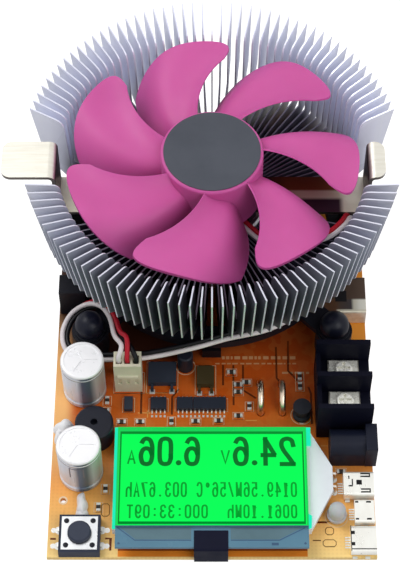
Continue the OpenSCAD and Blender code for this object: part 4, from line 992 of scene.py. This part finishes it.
GRID_X, GRID_Y = 4, 6
GLYPHS = {
    "0": [[
        (0, 1.4), (0, 4.6), (0.6, 5.7), (2, 6), (3.4, 5.7), (4, 4.6), (4, 1.4), (3.4, 0.3), (2, 0),
        (0.6, 0.3), (0, 1.4), (0, 2),
    ]],
    "1": [[(1, 4.9), (2.2, 6), (2.2, 0)], [(1, 0), (3.4, 0)]],
    "2": [
        [(0.1, 4.4), (0.6, 5.6), (2, 6), (3.5, 5.6), (3.9, 4.5), (3.2, 3.2), (1.6, 1.6), (0.2, 0.1)],
        [(0, 0), (4, 0)],
    ],
    "3": [
        [(0.2, 5), (0.8, 5.8), (2, 6), (3.4, 5.6), (3.8, 4.6), (3.3, 3.6), (1.8, 3.2)],
        [(1.8, 3.2), (3.5, 2.8), (4, 1.6), (3.4, 0.4), (2, 0), (0.6, 0.3), (0.1, 1.2)],
    ],
    "4": [[(3, 0), (3, 6)], [(3, 5.8), (0.2, 2.4)], [(0.1, 2.1), (4, 2.1)]],
    "5": [
        [(3.8, 6), (0.5, 6), (0.3, 3.4)],
        [(0.3, 3.3), (1.5, 3.8), (3.2, 3.4), (4, 2), (3.4, 0.5), (2, 0), (0.6, 0.3), (0.1, 1)],
    ],
    "6": [[
        (3.7, 5.2), (3.1, 5.8), (2, 6), (0.8, 5.6), (0.1, 4.4), (0, 3), (0.1, 1.4), (0.7, 0.3), (2, 0),
        (3.4, 0.3), (4, 1.4), (4, 2.4), (3.3, 3.4), (2, 3.7), (0.8, 3.3), (0.2, 2.4),
    ]],
    "7": [[(0, 6), (4, 6), (1.4, 0)]],
    "9": [[
        (0.3, 0.8), (0.9, 0.2), (2, 0), (3.2, 0.4), (3.9, 1.6), (4, 3), (3.9, 4.6), (3.3, 5.7), (2, 6),
        (0.6, 5.7), (0, 4.6), (0, 3.6), (0.7, 2.6), (2, 2.3), (3.2, 2.7), (3.8, 3.6),
    ]],
    "/": [[(0.3, 0), (3.7, 6)]],
    "o": [[
        (0.8, 4.9), (1.2, 4.3), (2, 4.2), (2.6, 4.6), (2.7, 5.2), (2.2, 5.7), (1.4, 5.7), (0.8, 5.2),
        (0.8, 4.9),
    ]],
    "W": [[(0, 6), (0.8, 0), (2, 4.6), (3.2, 0), (4, 6)]],
    "C": [[
        (3.9, 4.8), (3.2, 5.8), (2, 6), (0.7, 5.6), (0.1, 4.4), (0.1, 1.6), (0.7, 0.4), (2, 0),
        (3.2, 0.2), (3.9, 1.2),
    ]],
    "A": [[(0, 0), (2, 6), (4, 0)], [(0.8, 2), (3.2, 2)]],
    "V": [[(0, 6), (2, 0), (4, 6)]],
    "h": [[(0, 0), (0, 6)], [(0, 2.4), (0.8, 3.6), (2.2, 4), (3.5, 3.5), (4, 2.4), (4, 0)]],
    "T": [[(0, 6), (4, 6)], [(2, 6), (2, 0)]],
}
GLYPH_DOTS = {".": [(2, 0.3)], ":": [(2, 1.2), (2, 4.2)]}
BIG_FIGURES = [
    ("2", 19.8, 24.8), ("4", 14.2, 19.2), (".", 11.8, 13.3), ("6", 6.2, 10.9),
    ("6", -8.2, -3.5), (".", -10.6, -9.1), ("0", -16.1, -11.5), ("6", -21.6, -17.0),
]
BIG_ROW = (25.7, 35.5)
BIG_STROKE = 1.35
UNIT_FIGURES = [("V", 2.6, 5.3), ("A", -25.0, -22.5)]
UNIT_ROW = (26.4, 31.0)
SMALL_STROKE = 0.54
SMALL_ROWS = [
    ("0149.56W/56oC 003.67Ah", 24.8, -25.7, (15.6, 20.5)),
    ("0061.10Wh", 24.7, 4.0, (8.8, 13.2)),
    ("000:33:09T", -1.2, -25.3, (8.8, 13.2)),
]
SMALL_WIDTH_SHARE = 0.78
STRAIGHT_POINTS = 5
END_SHARE = 0.8
DOT_SHARE = 0.62
INK_LIFT = 0.02
INK_T = 0.04


def glyph(shape, char, right, left, row, stroke, z):
    """One character seen from behind, so that its left side lies at the right."""
    inset = stroke / 2
    span_x = right - left - 2 * inset
    span_y = row[1] - row[0] - 2 * inset

    def spot(gx, gy):
        return Vector((right - inset - gx / GRID_X * span_x, row[0] + inset + gy / GRID_Y * span_y, 0))

    for line in GLYPHS.get(char, []):
        points = [spot(*p) for p in line]
        if len(line) > STRAIGHT_POINTS:
            points = smooth_line(points, 4)
        for end, inner in ((0, 1), (-1, -2)):
            points[end] = points[end] + (points[end] - points[inner]).normalized() * inset * END_SHARE
        shape.ribbon([(p.x, p.y) for p in points], stroke, z, z + INK_T)
    for dot in GLYPH_DOTS.get(char, []):
        p = spot(*dot)
        shape.disc((p.x, p.y), stroke * DOT_SHARE, z, z + INK_T, 16)


def outline(shape, lo, hi, width, z, corner=0):
    """A thin line round a rectangle."""
    ring = [(lo[0], lo[1]), (hi[0], lo[1]), (hi[0], hi[1]), (lo[0], hi[1])]
    if corner:
        c = corner
        ring = [
            (lo[0] + c, lo[1]), (hi[0] - c, lo[1]), (hi[0], lo[1] + c), (hi[0], hi[1] - c),
            (hi[0] - c, hi[1]), (lo[0] + c, hi[1]), (lo[0], hi[1] - c), (lo[0], lo[1] + c),
        ]
    shape.ribbon(ring + ring[:2], width, z, z + LINE_T)


def display_readout():
    face = (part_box("lcd_polariser")[1].z - BOARD.z) / MM + INK_LIFT
    big = Shape()
    for char, left, right in BIG_FIGURES:
        glyph(big, char, right, left, BIG_ROW, BIG_STROKE, face)
    big.piece("readout_large", "ink_deep")
    small = Shape()
    for char, left, right in UNIT_FIGURES:
        glyph(small, char, right, left, UNIT_ROW, SMALL_STROKE, face)
    for text, right, left, row in SMALL_ROWS:
        pitch = (right - left) / len(text)
        for i, char in enumerate(text):
            start = right - pitch * i
            glyph(small, char, start, start - pitch * SMALL_WIDTH_SHARE, row, SMALL_STROKE, face)
    small.piece("readout_small", "ink_pale")


# Glow round the glass: its gap, how far it stands out on the right, and its height; length, depth
# and height of the two strips behind it; and its places in y on the right, with the lower one's
# outer corners as x from the backlight's edge
GLOW_GAP = 0.05
GLOW_OUT = 0.4
GLOW_T = 0.5
GLOW_STRIP = (4.5, 0.3, 1.2)
GLOW_UPPER_Y = 33.6
GLOW_LOWER = [(-0.1, 6.9), (0.1, 10.6)]
GLOW_LOWER_Y = (6.5, 11.4)


def display_seal():
    """The seal line inside the glass."""
    lo, hi = board_box("lcd_polariser")
    seal = Shape()
    outline(seal, (lo.x + 0.36, lo.y + 0.5), (hi.x - 0.5, hi.y - 0.36), 0.7, hi.z + 0.01)
    seal.piece("display_seal_line", "ink_edge")


def display_glow():
    """The glow along the backlight's rim."""
    back_lo, back_hi = board_box("lcd_backlight")
    glass_lo, glass_hi = board_box("lcd_glass")
    left, right = back_lo.x, -back_lo.x
    top = back_hi.z
    rear = back_hi.y
    length, depth, height = GLOW_STRIP
    edge = glass_hi.x + GLOW_GAP
    outer = right + GLOW_OUT
    glow = Shape()
    glow.block((left, back_lo.y, top), (glass_lo.x - GLOW_GAP, rear, top + GLOW_T))
    glow.block((left, rear - GLOW_GAP, top), (left + length, rear + depth, top + height))
    glow.block((right - length, rear - GLOW_GAP, top), (outer, rear + depth, top + height))
    glow.block((edge, GLOW_UPPER_Y, top), (outer, rear, top + GLOW_T))
    lower = [(right + x, y) for x, y in GLOW_LOWER]
    glow.slab([(edge, GLOW_LOWER_Y[0]), *lower, (edge, GLOW_LOWER_Y[1])], top, top + 0.3)
    glow.piece("backlight_edge_glow", "edge_glow")


LEDGE_TOP = 6.4
LEDGE_FILMS = [
    [(-26.6, 6.5), (-22.1, 2.75), (-6.0, 2.75), (-6.0, 6.5)],
    [(5.4, 6.5), (5.4, 2.75), (19.4, 2.75), (26.2, 6.5)],
]
LEDGE_LINES = [
    [(-27.4, 6.55), (-22.3, 2.5), (-6.0, 2.5)],
    [(5.4, 2.5), (19.5, 2.5), (26.9, 6.4)],
]
LEDGE_DOTS = [(-26.9, 1.5), (26.9, 1.5)]
LEDGE_BAR = ((17.2, 0.9), (19.2, 1.7))


def display_ledge():
    """The bare glass ledge: grey film, its bright lines and the dots at its corners."""
    film = Shape()
    for corners in LEDGE_FILMS:
        film.slab(corners, LEDGE_TOP, LEDGE_TOP + PRINT_T)
    film.piece("ledge_film", "ledge_film")
    lines = Shape()
    over = LEDGE_TOP + LINE_T
    for line in LEDGE_LINES:
        lines.ribbon(line, 0.28, LEDGE_TOP, over)
    for spot in LEDGE_DOTS:
        lines.disc(spot, 0.35, LEDGE_TOP, over, 16)
    lines.block((*LEDGE_BAR[0], LEDGE_TOP), (*LEDGE_BAR[1], over))
    lines.piece("ledge_lines", "ledge_line")


display_readout()
display_seal()
display_glow()
display_ledge()


# Capacitors: the turned edge, drawn as a painted highlight above a painted shade, as depths below a
# can's top, and the bracket printed on the front can in degrees round it, 0 at the front, and in depths

EDGE_DEPTHS = (1.8, 2.2, 2.5)
BRACKET_TURN = (-24, 15)
BRACKET_DEPTHS = (3.4, 9.0)
BRACKET_LINE_TURN = 3
BRACKET_LINE = 0.35
WALL_GAP = 0.02
STRIP_T = 0.05


def can_wall(lo, hi):
    """The middle of a can and a radius just outside its wall."""
    return (lo + hi) / 2, (hi.x - lo.x) / 2 + WALL_GAP


def curved_strip(shape, centre, radius, turn, low, high):
    """A thin curved patch on a round wall; turn is its start and end in degrees, 0 at the front."""
    steps = max(2, round((turn[1] - turn[0]) / 4))
    points = []
    for k in range(steps + 1):
        a = math.radians(turn[0] + (turn[1] - turn[0]) * k / steps)
        for r in (radius, radius + STRIP_T):
            for z in (low, high):
                points.append((centre.x + r * math.sin(a), centre.y - r * math.cos(a), z))
    faces = [[0, 1, 3, 2], [4 * steps + i for i in (0, 2, 3, 1)]]
    for i in range(0, 4 * steps, 4):
        j = i + 4
        faces.append([i, j, j + 1, i + 1])
        faces.append([i + 2, i + 3, j + 3, j + 2])
        faces.append([i, i + 2, j + 2, j])
        faces.append([i + 1, j + 1, j + 3, i + 3])
    shape.add(points, faces)


def can_marks():
    """The turned edge near each can's top as a painted shade below a painted highlight, and the bracket
    printed on the front can.
    """
    dark = Shape()
    bright = Shape()
    cans = solids("capacitor_cans")
    upper, middle, lower = EDGE_DEPTHS
    for lo, hi in cans:
        wall = can_wall(lo, hi)
        # painted shade of the turned edge
        curved_strip(dark, *wall, (-180, 180), hi.z - lower, hi.z - middle)
        # painted highlight of the turned edge
        curved_strip(bright, *wall, (-180, 180), hi.z - middle, hi.z - upper)
    lo, hi = min(cans, key=lambda box: box[0].y)
    wall = can_wall(lo, hi)
    high, low = (hi.z - depth for depth in BRACKET_DEPTHS)
    start, end = BRACKET_TURN
    for turn in ((start, start + BRACKET_LINE_TURN), (end - BRACKET_LINE_TURN, end)):
        curved_strip(dark, *wall, turn, low, high)
    curved_strip(dark, *wall, BRACKET_TURN, high - BRACKET_LINE, high)
    dark.piece("can_shade_and_print_marks", "can_mark")
    bright.piece("can_groove_highlights", "can_line")


can_marks()


# Board details: places of the chips' two rows of pins and of the switch, and solder profiles as
# radii with depths below the board

CHIP_MIDDLE_Y = 50.5
CHIP_PAD_REACH = (-1.2, 0.5)
CHIP_PAD_GAP = 0.5
CHIP_PAD_T = 0.07
SWITCH_X = -37.7
SWITCH_PADS = [(0, 1.25, 0.06), (1.6, 0.8, 0.05)]
TRANSISTOR_LEG_SHARE = 0.35
LEAD_PAD_R = 1.0
LEAD_PAD_T = 0.05
FILLET = [(1.15, 0), (0.8, 0.25), (0.5, 0.8), (0.38, 1.35), (0, 1.5)]
WIDE_FILLET = [(2.1, 0), (1.5, 0.35), (1.1, 0.9), (0, 1.3)]
SHUNT_END = 1.05
CHIP_END_IN = 0.42
CHIP_END_OUT = 0.3


def pads():
    """Tinned pads: under the chips' pins, the switch's pins and the round leads."""
    shape = Shape()
    for lo, hi in solids("ic_pins"):
        front = lo.y < CHIP_MIDDLE_Y
        y = lo.y if front else hi.y
        end = y + CHIP_PAD_REACH[0 if front else 1]
        near, far = min(y + CHIP_PAD_GAP, end), max(y - CHIP_PAD_GAP, end)
        shape.block((lo.x - 0.1, near, 0), (hi.x + 0.1, far, CHIP_PAD_T))
    for lo, hi in solids("switch_pins"):
        mid = (lo + hi) / 2
        for out, radius, thickness in SWITCH_PADS:
            x = mid.x + math.copysign(out, mid.x - SWITCH_X)
            shape.disc((x, mid.y), radius, 0, thickness)
    for lo, hi in solids("power_transistors"):
        if hi.z > 2:
            for side in (-1, 1):
                x = (lo.x + hi.x) / 2 + side * (hi.x - lo.x) * TRANSISTOR_LEG_SHARE
                shape.block((x - 0.8, lo.y - 0.7, 0), (x + 0.8, lo.y + 0.9, 0.06))
    for lo, hi in solids("component_leads"):
        shape.disc((lo + hi) / 2, LEAD_PAD_R, 0, LEAD_PAD_T)
    shape.piece("tinned_pads", "solder")


def joints():
    """Solder fillets round every lead that comes out below the board."""
    shape = Shape()
    below = -BOARD_T / MM
    fillet, wide = ([(r, below - depth) for r, depth in rows] for rows in (FILLET, WIDE_FILLET))
    for node in ("component_leads", "switch_pins", "fan_header_pins"):
        for lo, hi in solids(node):
            mid = (lo + hi) / 2
            shape.lathe((mid.x, mid.y, 0), fillet, 20)
    for lo, hi in solids("current_shunts"):
        for y in (lo.y + SHUNT_END, hi.y - SHUNT_END):
            shape.lathe(((lo.x + hi.x) / 2, y, 0), wide, 24)
    shape.piece("solder_joints", "solder", smooth=50)


def chip_ends():
    """Tinned ends and solder on every chip resistor and capacitor, and a pale outline round it."""
    caps = Shape()
    marks = Shape()
    for lo, hi in solids("chip_parts"):
        along = 0 if hi.x - lo.x > hi.y - lo.y else 1
        for start, end in (
            (lo[along] - CHIP_END_OUT, lo[along] + CHIP_END_IN),
            (hi[along] - CHIP_END_IN, hi[along] + CHIP_END_OUT),
        ):
            a, b = lo.copy(), hi.copy()
            a[along], b[along] = start, end
            caps.block((a.x, a.y, 0), (b.x, b.y, hi.z + 0.04))
        outline(marks, (lo.x - 0.65, lo.y - 0.65), (hi.x + 0.65, hi.y + 0.65), 0.14, 0.0)
    caps.piece("chip_end_caps", "solder")
    marks.piece("chip_outlines", "silk_white")


ISOLATION_LINES = [
    [(9.6, 64.7), (9.5, 55.8), (13.5, 52.9)],
    [(19.9, 71.2), (19.9, 60.1), (21.5, 57.6)],
    [(23.7, 73.4), (23.5, 62.6), (27.4, 57.9)],
    [(3.4, 64.7), (3.4, 57.5)],
    [(6.6, 64.7), (6.6, 50.5)],
    [(-21.6, 60.5), (-21.6, 47.5)],
    [(-10.2, 56.2), (-12.2, 53.4), (-12.2, 47.2)],
    [(29.6, 56.9), (30.3, 54.5), (30.3, 44)],
    [(-47.2, 5.9), (-45.6, 5.9)],
    [(-31.2, 6.0), (-29.6, 6.0), (-29.6, 2.2)],
    [(30.4, 11.2), (33.8, 11.2)],
]
PALE_TRACKS = [
    [(-20.2, 59.2), (-20.2, 54.8), (-13.8, 54.8)],
    [(-22.6, 47.8), (-18.8, 47.8)],
    [(-19.6, 48.6), (-19.6, 46.2)],
    [(10.2, 45.2), (13.6, 45.2)],
    [(28.6, 33.2), (32.6, 33.2)],
    [(32.8, 36.5), (35.6, 36.5), (35.6, 30.5)],
    [(-43.6, 15.2), (-43.6, 13.2)],
    [(33.6, 24.8), (36.4, 24.8)],
    [(33.6, 19.2), (36.0, 19.2)],
    [(-31.6, 22.4), (-31.6, 12.4)],
]
LEDGE_SHADES = ((-27.4, -5.0), (4.6, 27.8))
SMALL_SOCKETS = ("usb_mini_shell", "usb_micro_shell", "usb_c_shell")


def board_lines():
    for name, lines, width, material in (
        ("isolation_lines", ISOLATION_LINES, 0.6, "mask_gap"),
        ("pale_tracks", PALE_TRACKS, 0.32, "bare_track"),
    ):
        shape = Shape()
        for line in lines:
            shape.ribbon(line, width, 0.0, PRINT_T)
        shape.piece(name, material)


def board_shades():
    """Shaded strips on the board, under the display's ledge and between the sockets."""
    warm, deep = Shape(), Shape()
    for left, right in LEDGE_SHADES:
        warm.block((left, 0.25, 0), (right, 2.1, PRINT_T))
        deep.block((left, 2.1, 0), (right, 2.8, PRINT_T))
    sockets = [solids(node)[0] for node in SMALL_SOCKETS]
    for (back_lo, back_hi), (lo, hi) in zip(sockets, sockets[1:]):
        deep.block((max(lo.x, back_lo.x), hi.y + 0.1, 0), (min(hi.x, back_hi.x), back_lo.y - 0.1, LINE_T))
    lo, hi = sockets[0]
    deep.block((lo.x, hi.y + 0.1, 0), (hi.x - 0.5, hi.y + 0.9, LINE_T))
    warm.piece("board_ledge_shade", "board_shade")
    deep.piece("board_socket_shade", "board_shadow")


# Print on the board: rows of dashes by y, left, right and height; round parts with the distance
# to their ring; frames by two corners; and two lines with their widths
DASH_ROWS = [(67.3, 3.1, 26.7, 1.1), (65.2, 1.0, 26.6, 0.5), (61.9, 21.6, 30.2, 0.7)]
RINGED_PARTS = [("small_capacitor", 0.55), ("filter_choke", 0.5), ("status_led", 0.45)]
DARK_FRAMES = [((33.2, 7.2), (35.6, 9.6)), ((32.4, 3.4), (36.2, 5.6)), ((-32.6, 13.2), (-30.2, 17.2))]
DARK_LINES = [([(30.2, 11.4), (36.4, 11.4)], 0.2), ([(29.4, 5.4), (31.8, 5.4)], 0.35)]


def dash_rows():
    """Rows of plain dashes in place of small print."""
    rows = Shape()
    random.seed(4)
    for row_y, left, right, height in DASH_ROWS:
        x = left
        while x < right - 1:
            width = random.uniform(0.5, 1.9)
            rows.block((x, row_y - height / 2, 0), (min(x + width, right), row_y + height / 2, PRINT_T))
            x += width + random.uniform(0.35, 0.8)
    rows.piece("print_rows", "silk_faint")


def silkscreen():
    """Pale and dark outlines round the parts."""
    pale = Shape()
    for node, grow in RINGED_PARTS:
        lo, hi = solids(node)[0]
        radius = (hi.x - lo.x) / 2 + grow
        pale.ribbon([around((lo + hi) / 2, radius, k / 40) for k in range(42)], 0.2, 0.0, PRINT_T)
    for node in ("ic_bodies", "power_transistors"):
        for lo, hi in solids(node):
            if hi.z > 1.2:
                outline(pale, (lo.x - 0.5, lo.y - 0.25), (hi.x + 0.5, hi.y + 0.25), 0.15, 0.0)
    lo, hi = board_box("fan_header")
    outline(pale, (lo.x - 0.5, lo.y - 0.6), (hi.x + 0.5, hi.y + 0.5), 0.18, 0.0)
    pale.piece("pale_print", "silk_white")
    dark = Shape()
    for lo, hi in DARK_FRAMES:
        outline(dark, lo, hi, 0.22, 0.0, 0.6)
    for line, width in DARK_LINES:
        dark.ribbon(line, width, 0.0, PRINT_T)
    dark.piece("dark_print", "silk_dark")


def bead(shape, centre, radius, height, stretch, seed):
    """A blob of set glue: an uneven low dome."""
    random.seed(seed)
    waves = [(random.uniform(0.04, 0.1), random.randint(2, 5), random.uniform(0, 6)) for _ in range(3)]
    rings = 6
    steps = 36
    points = []
    for i in range(rings + 1):
        share = i / rings
        for k in range(steps):
            a = 2 * math.pi * k / steps
            wobble = 1 + sum(size * math.sin(count * a + start) for size, count, start in waves)
            r = radius * wobble * math.cos(share * math.pi / 2)
            z = height * math.sin(share * math.pi / 2)
            points.append((centre[0] + r * math.cos(a), centre[1] + stretch * r * math.sin(a), z))
    shape.rings(points, steps)


# Beads of glue: place, radius, height, stretch front to back, and seed
BEADS = {
    "glue_white": [((-44.6, 42.0), 2.9, 4.0, 1.0, 2), ((-46.0, 39.2), 1.6, 3.2, 1.6, 5)],
    "glue_grey": [((-38.4, 16.6), 1.7, 2.8, 2.3, 3), ((-38.3, 13.6), 1.9, 1.8, 1.3, 7)],
}


def glue():
    """Set glue: white between the large capacitors and the board's edge, grey in front."""
    for name, beads in BEADS.items():
        shape = Shape()
        for row in beads:
            bead(shape, *row)
        shape.piece(name, name, smooth=70)


def dark_block():
    """The low black part that looks out from under the heat sink's ring."""
    shape = Shape()
    shape.block((-3.0, 67.4, 0), (2.8, 71.6, 4.0))
    shape.piece("shaded_block", "dark_block")


def ringed_hole():
    shape = Shape()
    shape.lathe((-44, 18.3, 0), [(0.85, 0), (1.35, 0), (1.35, 0.05), (0.85, 0.05), (0.85, 0)], 32)
    shape.piece("hole_ring", "silk_white")


pads()
joints()
chip_ends()
board_lines()
board_shades()
dash_rows()
silkscreen()
glue()
dark_block()
ringed_hole()


# Sockets: dark openings in the shells' tops as shares of each shell's box, two in x and two in y

SHELL_WINDOWS = {
    "usb_mini_shell": [
        (0.56, 0.86, 0.08, 0.14), (0.56, 0.86, 0.2, 0.26), (0.56, 0.86, 0.74, 0.8), (0.56, 0.86, 0.86, 0.92),
        (0.84, 0.88, 0.08, 0.26), (0.84, 0.88, 0.74, 0.92), (0.42, 0.6, 0.42, 0.62), (0.16, 0.3, 0.34, 0.4),
        (0.27, 0.31, 0.4, 0.66), (0.16, 0.2, 0.66, 0.8),
    ],
    "usb_micro_shell": [
        (0.6, 0.84, 0.1, 0.17), (0.04, 0.2, 0.1, 0.17), (0.6, 0.84, 0.83, 0.9), (0.04, 0.2, 0.83, 0.9),
    ],
    "usb_c_shell": [
        (0.03, 0.16, 0.24, 0.36), (0.03, 0.16, 0.64, 0.76), (0.0, 0.03, 0.05, 0.95), (0.03, 1.0, 0.1, 0.135),
    ],
    "usb_a_shell": [(0.3, 0.56, 0.3, 0.6)],
}
PIN_PITCH = 0.8


def shell_windows():
    """Latch windows, tabs and seams pressed into the metal shells."""
    dark = Shape()
    for node, windows in SHELL_WINDOWS.items():
        lo, hi = board_box(node)
        size = hi - lo
        for left, right, front, back in windows:
            start = (lo.x + size.x * left, lo.y + size.y * front, hi.z)
            end = (lo.x + size.x * right, lo.y + size.y * back, hi.z + LINE_T)
            dark.block(start, end)
    dark.piece("shell_windows", "socket_black")


def socket_feet():
    """Soldered pins and feet of the small sockets."""
    feet = Shape()
    for node in SMALL_SOCKETS:
        lo, hi = board_box(node)
        for k in range(5):
            y = (lo.y + hi.y) / 2 + (k - 2) * PIN_PITCH
            feet.block((lo.x - 1.5, y - 0.2, 0), (lo.x + 0.1, y + 0.2, 0.12))
        for y in (lo.y - 0.35, hi.y + 0.35):
            for x in (lo.x + 1.2, hi.x - 2.6):
                feet.block((x - 0.7, y - 0.35, 0), (x + 0.7, y + 0.35, 0.35))
    feet.piece("socket_feet", "solder")


shell_windows()
socket_feet()


# Switch

RIVET_OFFSET = 3.85
RIVET = [(0.78, -0.02), (0.78, 0.12), (0.5, 0.28), (0, 0.32)]


def switch_rivets():
    shape = Shape()
    lo, hi = board_box("switch_cover")
    mid = (lo + hi) / 2
    profile = [(radius, hi.z + rise) for radius, rise in RIVET]
    for x in (mid.x - RIVET_OFFSET, mid.x + RIVET_OFFSET):
        for y in (mid.y - RIVET_OFFSET, mid.y + RIVET_OFFSET):
            shape.lathe((x, y, 0), profile, 24)
    shape.piece("switch_rivets", "black_nylon", smooth=60)


switch_rivets()


# Stage and light

FLOOR_HALF = 3000
FLOOR_GLOW = 0.86
FLOOR_GLOSS_SHARE = 0.35
SKY_ON_PART = 0.46
SKY_IN_GLOSS = 0.9
AIM = (0, 0, 0.02)


def stage():
    """A pale floor that the camera sees as white."""
    floor = Shape(Vector((0, 0, 0)))
    floor.block((-FLOOR_HALF, -FLOOR_HALF, -10), (FLOOR_HALF, FLOOR_HALF, 0))
    s = Surface("pale_floor", roughness=0.9)
    s.colour(s.tones(s.noise(3), (0.5, 0.5, 0.5, 1), (0.52, 0.52, 0.52, 1)))
    glow = s.node("Emission", {"Strength": FLOOR_GLOW})
    both = s.node("AddShader", {0: s.shader.outputs[0], 1: glow.outputs[0]})
    path = s.node("LightPath").outputs
    seen = s.maths("MULTIPLY_ADD", path["Is Glossy Ray"], FLOOR_GLOSS_SHARE, path["Is Camera Ray"])
    seen = s.maths("MAXIMUM", seen, path["Is Transmission Ray"])
    switch = s.node("MixShader", {0: seen, 1: s.shader.outputs[0], 2: both.outputs[0]})
    feed(s.tree, s.tree.nodes["Material Output"], {"Surface": switch.outputs[0]})
    mesh = bpy.data.meshes.new("floor")
    mesh.from_pydata([p * MM for p in floor.points], [], floor.faces)
    mesh.materials.append(s.material)
    obj = add_object("floor", mesh)


def world():
    """White surroundings: dimmer as light on the part than as seen in it or by the camera."""
    w = bpy.data.worlds.new("studio")
    w.use_nodes = True
    bpy.context.scene.world = w
    tree = w.node_tree
    path = new_node(tree, "LightPath").outputs
    sky = {"Value": path["Is Glossy Ray"], "To Min": SKY_ON_PART, "To Max": SKY_IN_GLOSS}
    strength = new_node(tree, "MapRange", sky).outputs[0]
    shown = new_node(tree, "Math", {0: path["Is Camera Ray"], 1: strength}, operation="MAXIMUM")
    feed(tree, tree.nodes["Background"], {"Color": WHITE, "Strength": shown.outputs[0]})


def lamp(name, place, size, watts):
    data = bpy.data.lights.new(name, "AREA")
    data.size = size
    data.energy = watts
    obj = add_object(name, data)
    obj.location = place
    obj.rotation_euler = (Vector(AIM) - Vector(place)).to_track_quat("-Z", "Y").to_euler()


def lights():
    bpy.context.scene.view_settings.view_transform = "Standard"
    lamp("key", (-0.45, 0.25, 0.8), 0.5, 3.8)
    lamp("fill", (0.5, -0.5, 0.7), 0.6, 2.5)


stage()
world()
lights()
